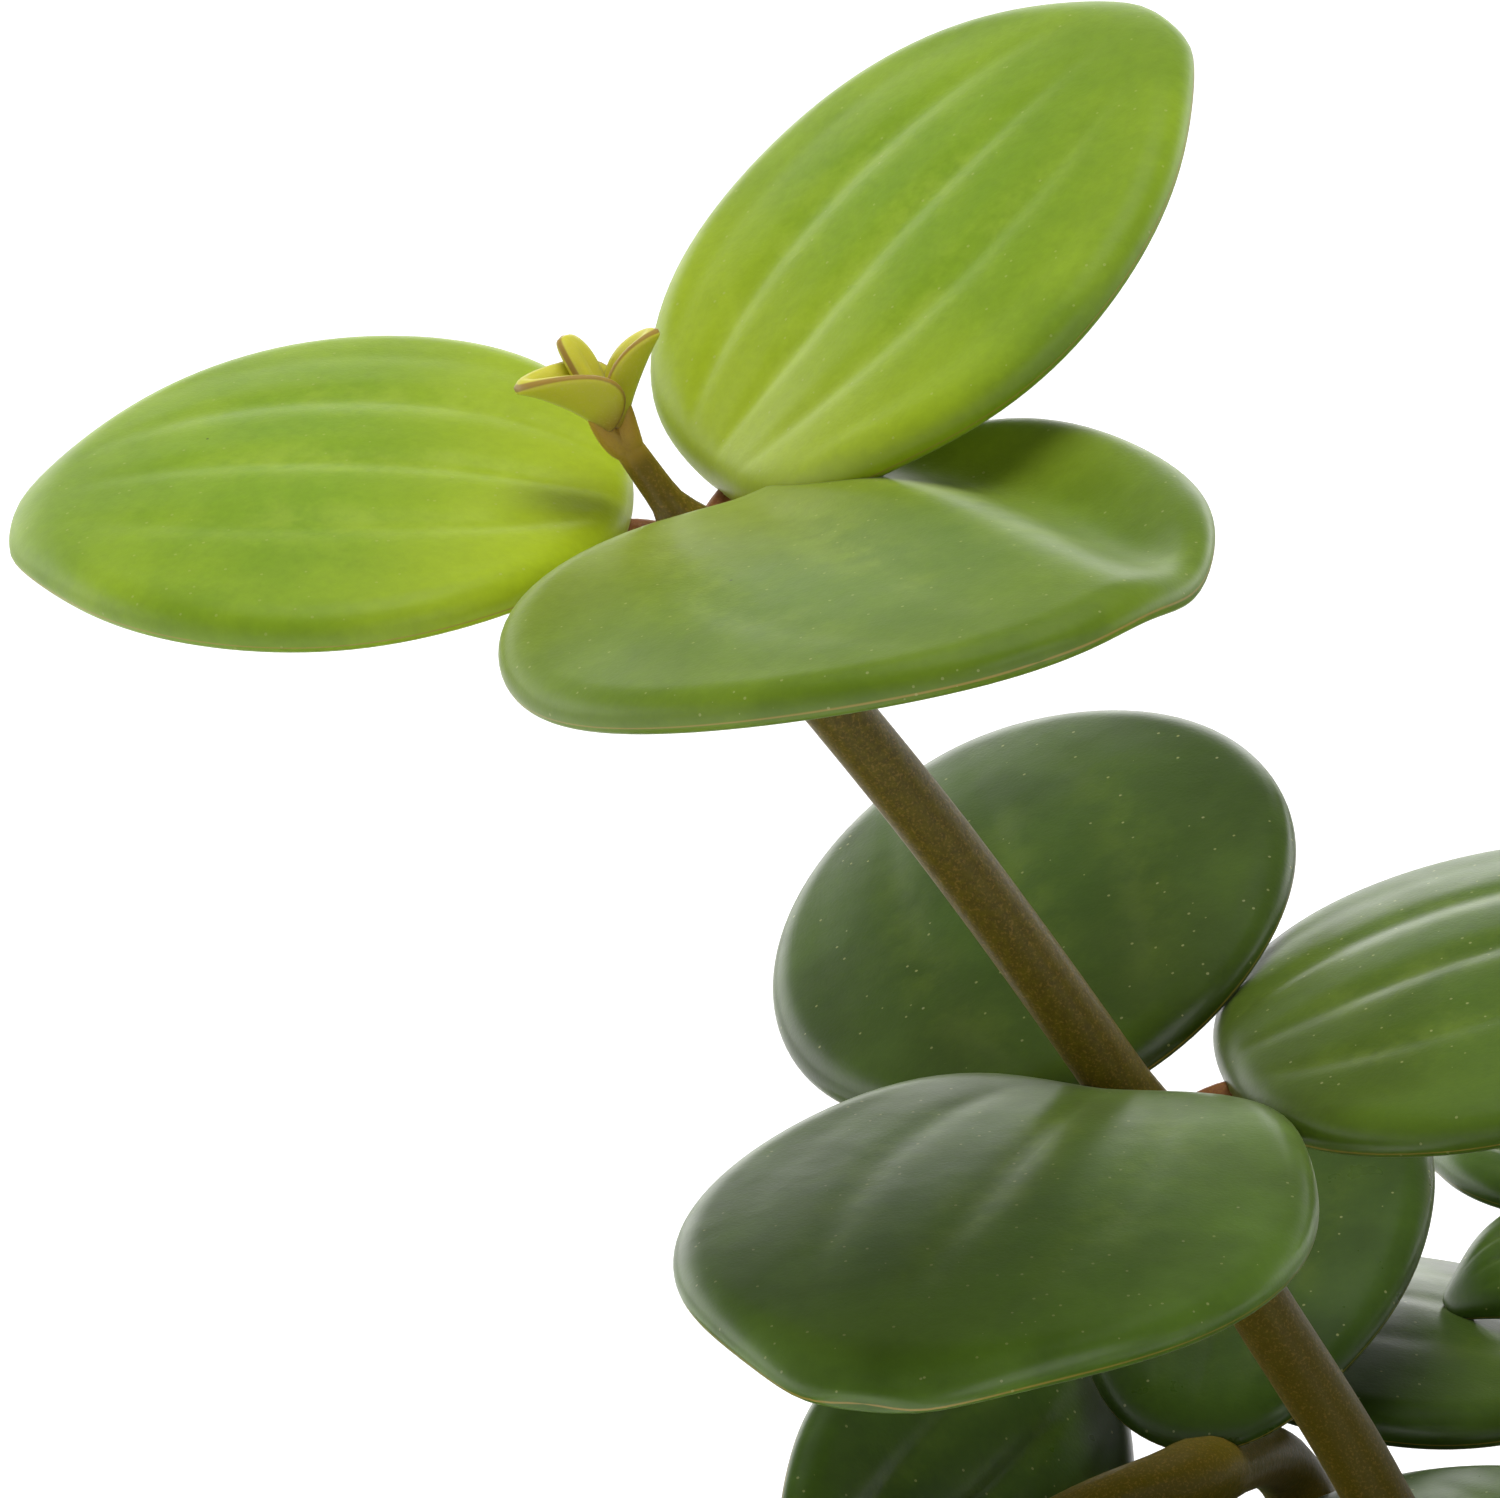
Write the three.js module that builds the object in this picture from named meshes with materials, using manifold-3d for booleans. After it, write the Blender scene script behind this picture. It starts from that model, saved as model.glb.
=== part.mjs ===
// A hope peperomia in a plain clay pot: leafy stems with whorls of three fleshy round leaves,
// standing in potting soil. Millimetres, +Z up, the origin at the centre of the pot's base.
import * as THREE from "three";
import { mergeVertices } from "three/addons/utils/BufferGeometryUtils.js";
import Module from "manifold-3d";

const wasm = await Module();
wasm.setup();

// Pot. Radii are at its outside unless named otherwise.
const POT_HEIGHT = 104;
const POT_BASE_RADIUS = 41;
const POT_NECK_RADIUS = 53; // just under the collar
const COLLAR_RADIUS = 60;
const COLLAR_FOOT_RADIUS = 58;
const COLLAR_HEIGHT = 24;
const COLLAR_LEDGE = 2; // how far the wall slopes out to the collar's foot
const RIM_BEVEL = 1.5;
const POT_WALL = 5;
const POT_FLOOR = 6;
const POT_SIDES = 30;
const DRAIN_HOLE_RADIUS = 4.5;
const DRAIN_HOLE_REACH = 22; // from the pot's axis
const DRAIN_HOLES = 3;
const DRAIN_HOLE_SIDES = 16;

// Soil, and the plain holes that the stems stand in
const SOIL_TOP = 92;
const SOIL_DOME = 2; // how far its middle stands above its edge
const FIT_GAP = 0.35;
const ROOT_DEPTH = 13;
const STEM_HOLE_SIDES = 6;

// Leaf blade: the usual leaf of this plant, which each leaf changes a little
const BLADE = {
  length: 25.5, // from the petiole to the tip
  width: 24.5,
  cup: 0.8, // how far the margins stand above the line of the midrib
  dome: 0.075, // how far its middle bulges above its rim, as a share of its length
  bend: -0.4, // how far the tip stands above the base
  fold: 1.6, // how far the two halves fold up beside the petiole
  lobe: 0.4, // how far the base reaches back past the petiole
  egg: 0.05, // how much wider the base half is than the tip half
  point: 1.2, // length of the blunt point
  skew: 0, // sideways sweep of the tip
};
const LOBE_ANGLE = 0.55; // of each lobe beside the petiole, round the blade's middle, in radians
const LOBE_SPREAD = 0.34;
const POINT_SPREAD = 0.42; // of the blunt point, in radians
const POINT_ROUND = 0.35; // how much of the point is taken off again at its very end
const POINT_ROUND_SPREAD = 0.15;
const FOLD_REACH = 0.3; // how far along the blade the fold fades, as a share of the length
const FOLD_SHARPNESS = 0.01; // the less, the sharper the fold's crease
const BLADE_HALF_THICKNESS = 0.8;
const RIM_HALF_THICKNESS = 0.4;
const BUD_HALF_THICKNESS = 0.32;
const PETIOLE_HALF_WIDTH = 0.55;
const PETIOLE_LENGTH = 2.4;
const PETIOLE_LIFT = 1.2;

// Stems: radii at the soil, at the last node and at the bud
const STEM_FOOT_RADIUS = 1.45;
const STEM_NODE_RADIUS = 1.26;
const STEM_TIP_RADIUS = 0.58;
const LEADING_STEPS = 2; // rings for each leg of a stem's path
const PLAIN_STEPS = 1;
const MEASURED_STEPS = 4; // steps for each leg where distances to a stem are measured
const LEADING_SIDES = 9;
const PLAIN_SIDES = 5;

// Free distance between the middle surfaces of leaves, and from them to the middle of a stem
const LEAF_CLEARANCE = 2.25;
const STEM_CLEARANCE = 2.6;
const STEM_APART = 4;
const OWN_STEM_FREE = 5.5; // round a leaf's node its own stem doesn't count
const LEAF_REACH = 20; // nothing farther than this from a leaf's middle can touch the leaf
const LEAVES_REACH = 34; // nor can a leaf whose middle is farther off

// Room that stays free: above the soil, round the pot's collar and over the ground
const FREE_OVER_SOIL = 4;
const FREE_OVER_RIM = 3;
const FREE_INSIDE_RIM = 4;
const FREE_OUTSIDE_RIM = 3.5;
const FREE_OVER_GROUND = 8;
// The leading shoot stands alone in the air to the left of OPEN_AIR_X and above OPEN_AIR_Z, two
// limits that lean with their distance from the viewer
const OPEN_AIR_X = -24.2;
const OPEN_AIR_X_LEAN = 0.035;
const OPEN_AIR_Z = 129.5;
const OPEN_AIR_Z_LEAN = 0.268;

// Triangles of a blade: how far out each ring of points lies, and how many points it has
const FINE_RINGS = [[0, 1], [0.58, 6], [1, 18]];
const PLAIN_RINGS = [[0.5, 2], [1, 10]];
const BUD_RINGS = [[0, 1], [1, 6]];

// Points spread over a blade, some 4 mm apart, for measuring its distance to other things
const SAMPLE_RINGS = [[0, 1], [0.28, 6], [0.52, 12], [0.76, 18], [1, 24]];

// The three tiny leaves of every bud. Angles in degrees: azimuth from +X, rise above level.
const BUD_LEAVES = [
  { azimuth: 188, rise: 46, length: 4.3, width: 2.8, cup: 1.8, bend: -1.6, egg: 0.1 },
  { azimuth: 2, rise: 82, length: 4.5, width: 1.7, cup: 1, bend: -1, egg: -0.1 },
  { azimuth: 150, rise: 63, length: 4.4, width: 1.6, cup: 0.2, bend: -0.4, egg: -0.4 },
];
const BUD_LENGTH = 4.4;
const BUD_ROOM = 0.1; // how far from the stem's middle the bud's leaves start
const BUD_FORM = { roll: 0, dome: 0, fold: 0.3, lobe: 0, point: -0.25, skew: 0 };

// Three shoots are set by hand. path runs from the foot in the soil to the bud, at is the index
// of a node in it, and foot is where a blade starts, counted from its node. roll is about the
// midrib. What a leaf leaves out is drawn.
const LEADING_SHOOT = {
  path: [
    [-14, -13, 79], [-16.5, -14.5, 96], [-20.5, -17.5, 112], [-26, -21, 128], [-31, -23, 139],
    [-35.6, -24.2, 147], [-39.8, -25.4, 154.3], [-48.6, -27.6, 167.5], [-58, -30, 180],
    [-61.6, -30.8, 185.2],
  ],
  turn: 0,
  whorls: [
    {
      at: 8,
      leaves: [
        { azimuth: 20.4, rise: 40.6, roll: 10.4, length: 25.5, width: 24.4, cup: 1.2, dome: 0.078,
          bend: -0.15, fold: 2.2, lobe: 0.6, egg: 0.01, point: 1.4, skew: 2.3, foot: [0.5, 1.4, 2.1] },
        { azimuth: 171.8, rise: -2, roll: -14.8, length: 24.2, width: 24.6, cup: 1.15, dome: 0.083,
          bend: 0.2, fold: 1.15, lobe: 0, egg: 0.04, point: 1.4, skew: 0.1, foot: [-2.9, 0.3, 1.2] },
        { azimuth: -71.2, rise: 2.5, roll: 15.2, length: 26.5, width: 27.9, cup: -0.65, dome: 0.015,
          bend: -1.2, fold: 2.7, lobe: -0.5, egg: 0.12, point: 0.3, skew: 3, foot: [1.3, -2.2, 1.9] },
      ],
    },
    {
      at: 6,
      leaves: [
        { azimuth: 104.7, rise: 15.5, roll: -26.3, length: 26.6, width: 23, cup: 0.1, dome: 0.056,
          bend: -0.25, fold: 0.7, lobe: 0, egg: 0.01, point: 0.8, skew: -0.75, foot: [-1.7, 2.6, 1.4] },
        { azimuth: -111.6, rise: -8.1, roll: 0.8, length: 26.4, width: 25.8, cup: -0.05, dome: 0.052,
          bend: -0.5, fold: 1.35, lobe: 2.2, egg: -0.01, point: 2.2, skew: -0.2, foot: [-1.7, -1.2, 1.7] },
        { azimuth: 10, rise: 13.8, roll: 8.5, length: 25.6, width: 24.5, cup: 0.25, dome: 0.073,
          bend: -0.45, fold: 0.25, lobe: 0.3, egg: 0.11, point: 1, skew: 0.1, foot: [2.8, 0.4, 2.2] },
      ],
    },
    {
      at: 3,
      leaves: [
        { azimuth: 111.8, rise: 8.8, roll: -15.3, length: 21.5, width: 20.5, cup: 0.1, bend: -0.6,
          foot: [2, 3, -0.4] },
        { azimuth: 232, rise: -4 },
        { azimuth: -8, rise: 6 },
      ],
    },
  ],
};
const ARCHING_SHOOT = {
  path: [
    [-22, 6, 79], [-24.5, 9, 100], [-29.5, 9.5, 118.5], [-33.5, 5.5, 130.6], [-37.6, -4, 133.4],
    [-43.5, -6.5, 131.8], [-50, -10, 128], [-55.5, -12.5, 124.6], [-64, -16, 116], [-71, -19, 104],
    [-74, -20, 98],
  ],
  turn: 40,
  whorls: [
    {
      at: 4,
      leaves: [
        { azimuth: 72.5, rise: 26, roll: -1.5, length: 25.2, width: 14.5, cup: 1.3, bend: -0.6,
          foot: [-0.2, 1.5, 0.7] },
        { azimuth: -38, rise: 6 },
      ],
    },
    {
      at: 7,
      leaves: [
        { azimuth: 53, rise: 18.6, roll: 58, length: 22, width: 15.5, cup: 0, bend: -0.4,
          foot: [1.7, 1.2, 3.6] },
        { azimuth: -75, rise: -8 },
      ],
    },
    { at: 9, leaves: [{ azimuth: 200, rise: -6 }, { azimuth: 80, rise: 0 }, { azimuth: -40, rise: 0 }] },
  ],
};
const SHELTERED_SHOOT = {
  path: [
    [-5, 17, 79], [-7, 17.5, 96], [-11, 17.5, 114], [-16.6, 16.7, 129.4], [-17.8, 18.6, 138],
    [-18.2, 19.2, 143],
  ],
  turn: 80,
  whorls: [
    {
      at: 4,
      leaves: [
        { azimuth: 196, rise: -14, roll: -20, length: 8.5, width: 7, cup: 0.5, bend: -0.3,
          foot: [-0.2, -1.6, 0] },
        { azimuth: 152, rise: 8, roll: -10, length: 10.5, width: 9, cup: 0.5, bend: -0.3,
          foot: [0.6, 1.2, 0.5] },
        { azimuth: 40, rise: 20 },
      ],
    },
    {
      at: 3,
      leaves: [
        { azimuth: 185, rise: 11.5, roll: -1.3, length: 21.5, width: 23.5, cup: -0.3, bend: -0.6,
          foot: [-2.6, -0.1, 1.9] },
        { azimuth: 65, rise: 20 },
        { azimuth: -55, rise: 12 },
      ],
    },
    { at: 1, leaves: [{ azimuth: 125, rise: 5 }, { azimuth: -115, rise: 5 }, { azimuth: 5, rise: 5 }] },
  ],
};
const HAND_SET_SHOOTS = [LEADING_SHOOT, ARCHING_SHOOT, SHELTERED_SHOOT];

// The other stems follow one rule, from the middle of the pot outwards. Angles in degrees.
const STEM_COUNT = 14;
const CROWN_RADIUS = 37;
const GOLDEN_ANGLE = 137.508;
const FIRST_HEADING = 96;
const FIRST_NODE = 24; // above the soil
const NODE_STEP = 27;
const MOST_NODES = 4;
const FEWEST_NODES = 2;
const NODE_SHRINK = 0.08; // how much shorter each step is than the one below
const BUD_STEP = 5.5;
const FOOT_LEAN = [4, 10]; // lowest and highest lean of a stem at its foot
const OUTER_LEAN = 13; // how much more an outermost stem leans
const LOW_LEAN_SHARE = 0.3; // how much of that is left where the leading shoot hangs over
const CURL = [0.4, 1.6]; // how much a stem curls outwards, each 10 mm
const OUTER_CURL = 4.4; // how much more an outermost stem curls
const LOW_CURL = 8; // how much more the stems below the leading shoot curl
const LOW_SPREAD = 1.4; // how wide round the pot that side is
const SWING = 4; // how far a stem swings sideways at most, each 13 mm
const YOUNG_RISE = 18; // how much steeper the top leaves stand
const LEAVES_IN_WHORL = 3;
const RANDOM_SEED = 7;

// What a leaf that would touch something tries in turn: another size, rise and direction
const TRIED_SIZES = [1, 0.88, 0.76, 0.64];
const TRIED_LIFTS = [0, 12, -12, 24, -24, 38];
const TRIED_TURNS = [0, 14, -14, 28, -28];

const radians = (degrees) => (degrees * Math.PI) / 180;
const vector = (xyz) => new THREE.Vector3(...xyz);

let randomState = RANDOM_SEED;
function draw(low, high) {
  randomState = (randomState * 1664525 + 1013904223) % 4294967296;
  return low + ((high - low) * randomState) / 4294967296;
}

// A blade's outline: angle 0 is the tip and a half turn is the petiole
function outlinePoint(leaf, angle) {
  const { length, width, lobe, egg, point, skew } = leaf;
  const fromLobe = (Math.abs(angle) - (Math.PI - LOBE_ANGLE)) / LOBE_SPREAD;
  const pointed = Math.exp(-((angle / POINT_SPREAD) ** 2));
  const rounded = POINT_ROUND * Math.exp(-((angle / POINT_ROUND_SPREAD) ** 2));
  let x = 0.5 * length * (1 + Math.cos(angle));
  x -= lobe * Math.exp(-(fromLobe ** 2));
  x += point * (pointed - rounded);
  const y = 0.5 * width * Math.sin(angle) * (1 - egg * Math.cos(angle)) + skew * (x / length) ** 2;
  return [x, y];
}

// Height of a blade's middle surface above the flat
function bladeHeight(leaf, x, y) {
  const across = (2 * y) / leaf.width;
  const along = x / leaf.length;
  const nearPetiole = Math.exp(-((Math.max(along, 0) / FOLD_REACH) ** 2));
  return leaf.cup * across ** 2 + leaf.bend * along ** 2
    + leaf.dome * leaf.length * (4 * along * (1 - along) - across ** 2)
    + leaf.fold * Math.sqrt(across ** 2 + FOLD_SHARPNESS) * nearPetiole;
}

// Directions along the midrib, across the blade to its left, and up out of its face
function bladeAxes(leaf) {
  const azimuth = radians(leaf.azimuth);
  const rise = radians(leaf.rise);
  const roll = radians(leaf.roll);
  const along = new THREE.Vector3(
    Math.cos(azimuth) * Math.cos(rise), Math.sin(azimuth) * Math.cos(rise), Math.sin(rise));
  const level = new THREE.Vector3(-Math.sin(azimuth), Math.cos(azimuth), 0);
  const above = along.clone().cross(level);
  const across = level.clone().multiplyScalar(Math.cos(roll)).addScaledVector(above, Math.sin(roll));
  const up = above.clone().multiplyScalar(Math.cos(roll)).addScaledVector(level, -Math.sin(roll));
  return { along, across, up };
}

function bladePoint(leaf, x, y, lift = 0) {
  return leaf.foot.clone()
    .addScaledVector(leaf.axes.along, x)
    .addScaledVector(leaf.axes.across, y)
    .addScaledVector(leaf.axes.up, bladeHeight(leaf, x, y) + lift);
}

// Angles of the points of a ring, from the tip round the left margin, which is positive
function ringAngles(count) {
  return Array.from({ length: count }, (unused, k) => (2 * Math.PI * k) / count);
}

// A point on the ring that lies this far out from the middle of the blade
function ringPoint(leaf, reach, turn) {
  const [x, y] = outlinePoint(leaf, turn > Math.PI ? turn - 2 * Math.PI : turn);
  const middle = 0.5 * leaf.length;
  return [middle + reach * (x - middle), reach * y];
}

// Uniform Catmull-Rom curve through a stem's points, with a number of steps for each leg
function smoothPath(path, steps) {
  const points = path.map(vector);
  const last = points.length - 1;
  points.unshift(points[0].clone().multiplyScalar(2).sub(points[1]));
  points.push(points[last + 1].clone().multiplyScalar(2).sub(points[last]));
  const smooth = [];
  for (let leg = 0; leg < last; leg += 1) {
    const [a, b, c, d] = points.slice(leg, leg + 4);
    for (let step = 0; step < steps; step += 1) {
      const t = step / steps;
      smooth.push(new THREE.Vector3()
        .addScaledVector(a, 0.5 * (-t + 2 * t ** 2 - t ** 3))
        .addScaledVector(b, 0.5 * (2 - 5 * t ** 2 + 3 * t ** 3))
        .addScaledVector(c, 0.5 * (t + 4 * t ** 2 - 3 * t ** 3))
        .addScaledVector(d, 0.5 * (-(t ** 2) + t ** 3)));
    }
  }
  smooth.push(points[last + 1]);
  return smooth;
}

function inOpenAir(p) {
  return p.x < OPEN_AIR_X + OPEN_AIR_X_LEAN * p.y && p.z > OPEN_AIR_Z - OPEN_AIR_Z_LEAN * p.y;
}

function meetsPotOrSoil(p) {
  const reach = Math.hypot(p.x, p.y);
  const mouth = COLLAR_RADIUS - POT_WALL;
  const onSoil = reach < mouth + 1 && p.z < SOIL_TOP + FREE_OVER_SOIL;
  const byRim = reach > mouth - FREE_INSIDE_RIM && reach < COLLAR_RADIUS + FREE_OUTSIDE_RIM;
  return onSoil || (byRim && p.z < POT_HEIGHT + FREE_OVER_RIM) || p.z < FREE_OVER_GROUND;
}

// A stem by the rule: it leans and curls more the nearer it stands to the pot's wall
function ruledShoot(index) {
  const spread = Math.sqrt((index + 0.6) / STEM_COUNT);
  let heading = radians(index * GOLDEN_ANGLE + FIRST_HEADING);
  const low = THREE.MathUtils.clamp(-LOW_SPREAD * Math.cos(heading), 0, 1);
  const outerLean = OUTER_LEAN * THREE.MathUtils.lerp(1, LOW_LEAN_SHARE, low);
  let lean = radians(draw(...FOOT_LEAN) + outerLean * spread);
  const curl = radians(draw(...CURL) + OUTER_CURL * spread ** 2 + LOW_CURL * low) / 10;
  const swing = radians(draw(-SWING, SWING)) / 13;
  const legs = [ROOT_DEPTH + FIRST_NODE / 2, FIRST_NODE / 2];
  for (let node = 1; node < MOST_NODES; node += 1) {
    const step = NODE_STEP * draw(0.92, 1.08) * (1 - NODE_SHRINK * node);
    legs.push(step / 2, step / 2);
  }
  const turn = draw(0, 120);
  const foot = CROWN_RADIUS * spread;
  const path = [[foot * Math.cos(heading), foot * Math.sin(heading), SOIL_TOP - ROOT_DEPTH]];
  for (const leg of legs) {
    const [x, y, z] = path[path.length - 1];
    const out = leg * Math.sin(lean);
    path.push([x + out * Math.cos(heading), y + out * Math.sin(heading), z + leg * Math.cos(lean)]);
    lean += curl * leg;
    heading += swing * leg;
  }
  return endInBud(path, turn);
}

// Keeps the nodes that have room, adds the bud and gives each node its leaves
function endInBud(path, turn) {
  const ats = Array.from({ length: MOST_NODES }, (unused, node) => 2 + 2 * node);
  const blocked = ats.findIndex((at) => {
    const node = vector(path[at]);
    const budEnd = node.clone().sub(vector(path[at - 1])).setLength(BUD_STEP + BUD_LENGTH).add(node);
    return inOpenAir(budEnd) || meetsPotOrSoil(node);
  });
  const kept = blocked < 0 ? MOST_NODES : blocked;
  if (kept < FEWEST_NODES) return null;
  const end = ats[kept - 1];
  const last = vector(path[end]);
  const ahead = last.clone().sub(vector(path[end - 1])).setLength(BUD_STEP);
  const whorls = ats.slice(0, kept).map((at, node) => {
    const youth = Math.max(1 - 0.3 * (kept - 1 - node), 0);
    const leaves = Array.from({ length: LEAVES_IN_WHORL }, (unused, k) => ({
      azimuth: turn + 120 * k + 60 * node + draw(-12, 12),
      rise: draw(-4, 10) + YOUNG_RISE * youth,
    }));
    return { at, leaves };
  });
  return { path: [...path.slice(0, end + 1), last.add(ahead).toArray()], turn, whorls };
}

// Fills in what a leaf leaves out
function wholeLeaf(leaf, node) {
  const size = draw(0.88, 1.06);
  const drawn = {
    ...BLADE,
    length: BLADE.length * size,
    width: BLADE.width * size * draw(0.92, 1.04),
    cup: BLADE.cup + draw(-0.5, 0.5),
    bend: BLADE.bend + draw(-0.6, 0.5),
    fold: BLADE.fold + draw(-0.6, 0.8),
    lobe: BLADE.lobe + draw(-0.3, 0.4),
    skew: BLADE.skew + draw(-0.8, 0.8),
    roll: draw(-12, 12),
  };
  return seatLeaf({ ...drawn, ...leaf, node, offset: leaf.foot });
}

// Works out where a blade starts, its directions and its middle
function seatLeaf(leaf) {
  const azimuth = radians(leaf.azimuth);
  const out = STEM_NODE_RADIUS + PETIOLE_LENGTH;
  const offset = leaf.offset ?? [out * Math.cos(azimuth), out * Math.sin(azimuth), PETIOLE_LIFT];
  const seated = { ...leaf, foot: leaf.node.clone().add(vector(offset)), axes: bladeAxes(leaf) };
  seated.middle = seated.foot.clone().addScaledVector(seated.axes.along, 0.5 * seated.length);
  seated.samples = SAMPLE_RINGS.flatMap(([reach, count]) => ringAngles(count)
    .map((turn) => bladePoint(seated, ...ringPoint(seated, reach, turn))));
  return seated;
}

// True where a point lies closer to the blade's middle surface than the clearance
function nearBlade(leaf, point, clearance) {
  const from = point.clone().sub(leaf.foot);
  const x = from.dot(leaf.axes.along);
  const y = from.dot(leaf.axes.across);
  const z = from.dot(leaf.axes.up);
  const margin = 0.6 * clearance;
  const sweep = leaf.skew * (THREE.MathUtils.clamp(x, 0, leaf.length) / leaf.length) ** 2;
  const u = (x - 0.5 * leaf.length) / (0.5 * leaf.length + margin + 0.6);
  const v = (y - sweep) / (0.5 * leaf.width + margin);
  return u * u + v * v < 1 && Math.abs(z - bladeHeight(leaf, x, y)) < clearance;
}

function hasRoom(leaf, shoot, shoots, placed) {
  if (leaf.samples.some((p) => inOpenAir(p) || meetsPotOrSoil(p))) return false;
  for (const other of shoots) {
    const own = other === shoot;
    const meets = other.measured.some((p) => !(own && p.distanceTo(leaf.node) < OWN_STEM_FREE)
      && p.distanceTo(leaf.middle) < LEAF_REACH && nearBlade(leaf, p, STEM_CLEARANCE));
    if (meets) return false;
  }
  return !placed.some((other) => other.middle.distanceTo(leaf.middle) < LEAVES_REACH
    && (other.samples.some((p) => nearBlade(leaf, p, LEAF_CLEARANCE))
      || leaf.samples.some((p) => nearBlade(other, p, LEAF_CLEARANCE))));
}

// The first try of a leaf that has room, or null
function findRoom(leaf, shoot, shoots, placed) {
  for (const size of TRIED_SIZES) {
    for (const lift of TRIED_LIFTS) {
      for (const turn of TRIED_TURNS) {
        const tried = seatLeaf({
          ...leaf,
          azimuth: leaf.azimuth + turn,
          rise: leaf.rise + lift,
          length: leaf.length * size,
          width: leaf.width * size,
        });
        if (hasRoom(tried, shoot, shoots, placed)) return tried;
      }
    }
  }
  return null;
}

const sideways = (azimuth) => new THREE.Vector3(Math.cos(radians(azimuth)), Math.sin(radians(azimuth)), 0);

function budLeaves(shoot) {
  const [before, tip] = shoot.path.slice(-2).map(vector);
  const ahead = tip.clone().sub(before).normalize();
  return BUD_LEAVES.map((leaf) => seatLeaf({
    ...BUD_FORM,
    ...leaf,
    azimuth: leaf.azimuth + shoot.turn,
    node: tip.clone().addScaledVector(ahead, -1),
    offset: ahead.clone().addScaledVector(sideways(leaf.azimuth + shoot.turn), BUD_ROOM).toArray(),
    bud: true,
  }));
}

// Adds a shoot with its bud and its hand-set leaves. Its other leaves wait until all shoots stand.
function addShoot(shoot, shoots, placed, waiting) {
  shoot.name = `leafy_stem_${String(shoots.length + 1).padStart(2, "0")}`;
  shoot.leaves = budLeaves(shoot);
  for (const whorl of shoot.whorls) {
    for (const leaf of whorl.leaves) {
      const whole = wholeLeaf(leaf, vector(shoot.path[whorl.at]));
      if (leaf.foot) {
        shoot.leaves.push(whole);
      } else {
        waiting.push([shoot, whole]);
      }
    }
  }
  placed.push(...shoot.leaves);
  shoots.push(shoot);
}

// True where a new stem keeps clear of the other stems and of the leaves that already stand
function stemHasRoom(measured, shoots, placed) {
  return measured.every((p) => placed.every((leaf) => !nearBlade(leaf, p, STEM_CLEARANCE))
    && shoots.every((other) => other.measured.every((q) => p.distanceTo(q) > STEM_APART)));
}

// All shoots with their leaves: those set by hand come first, then each by the rule where it has room
function growPlant() {
  const shoots = [];
  const placed = [];
  const waiting = [];
  for (const shoot of HAND_SET_SHOOTS) {
    shoot.measured = smoothPath(shoot.path, MEASURED_STEPS);
    addShoot(shoot, shoots, placed, waiting);
  }
  for (let index = 0; index < STEM_COUNT; index += 1) {
    const shoot = ruledShoot(index);
    if (shoot) {
      shoot.measured = smoothPath(shoot.path, MEASURED_STEPS);
      if (stemHasRoom(shoot.measured, shoots, placed)) addShoot(shoot, shoots, placed, waiting);
    }
  }
  for (const [shoot, leaf] of waiting) {
    const seated = findRoom(leaf, shoot, shoots, placed);
    if (seated) {
      shoot.leaves.push(seated);
      placed.push(seated);
    }
  }
  return shoots;
}

// Triangles between two rings of points round the same middle, joined in the order of their angles
function stitchRings(inner, outer, firstInner, firstOuter) {
  const faces = [];
  const nextAngle = (ring, k) => (k + 1 < ring.length ? ring[k + 1] : 2 * Math.PI + ring[0]);
  let i = 0;
  let o = 0;
  while (i < inner.length || o < outer.length) {
    const a = firstInner + (i % inner.length);
    const b = firstOuter + (o % outer.length);
    const outerIsNext = i >= inner.length
      || (o < outer.length && nextAngle(outer, o) <= nextAngle(inner, i) + 1e-9);
    if (outerIsNext) {
      faces.push([a, b, firstOuter + ((o + 1) % outer.length)]);
      o += 1;
    } else {
      if (inner.length > 1) faces.push([a, b, firstInner + ((i + 1) % inner.length)]);
      i += 1;
    }
  }
  return faces;
}

function closedGeometry(points, faces) {
  const geometry = new THREE.BufferGeometry();
  geometry.setAttribute("position", new THREE.Float32BufferAttribute(points.flatMap((p) => p.toArray()), 3));
  geometry.setIndex(faces.flat());
  return geometry;
}

// A rim's angles have two close points in place of the one at the petiole, which starts between them
function rimAngles(leaf, count) {
  const half = PETIOLE_HALF_WIDTH / (0.5 * leaf.width);
  return ringAngles(count).flatMap((turn) => (
    Math.abs(turn - Math.PI) < 1e-6 ? [Math.PI - half, Math.PI + half] : [turn]));
}

// A blade with two faces that are split alike, a narrow rim, and its petiole reaching into the stem
function bladeGeometry(leaf, rings, halfThickness) {
  const rimHalf = Math.min(RIM_HALF_THICKNESS, halfThickness);
  const angles = rings.map(([reach, count]) => (reach < 1 ? ringAngles(count) : rimAngles(leaf, count)));
  const side = (sign) => rings.flatMap(([reach], ring) => {
    const half = rimHalf + (halfThickness - rimHalf) * (1 - reach ** 4);
    return angles[ring].map((turn) => bladePoint(leaf, ...ringPoint(leaf, reach, turn), sign * half));
  });
  const top = side(1);
  const under = top.length;
  const points = [...top, ...side(-1)];
  const faces = [];
  let first = 0;
  for (let ring = 0; ring + 1 < rings.length; ring += 1) {
    const next = first + angles[ring].length;
    for (const [a, b, c] of stitchRings(angles[ring], angles[ring + 1], first, next)) {
      faces.push([a, b, c], [a + under, c + under, b + under]);
    }
    first = next;
  }
  const rim = angles[rings.length - 1];
  const petiole = rim.findIndex((turn) => turn > Math.PI) - 1;
  for (let k = 0; k < rim.length; k += 1) {
    const a = first + k;
    const b = first + ((k + 1) % rim.length);
    if (k === petiole) {
      faces.push(...petioleFaces(leaf, points, [a, a + under, b + under, b]));
    } else {
      faces.push([a, a + under, b + under], [a, b + under, b]);
    }
  }
  return closedGeometry(points, faces);
}

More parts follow.
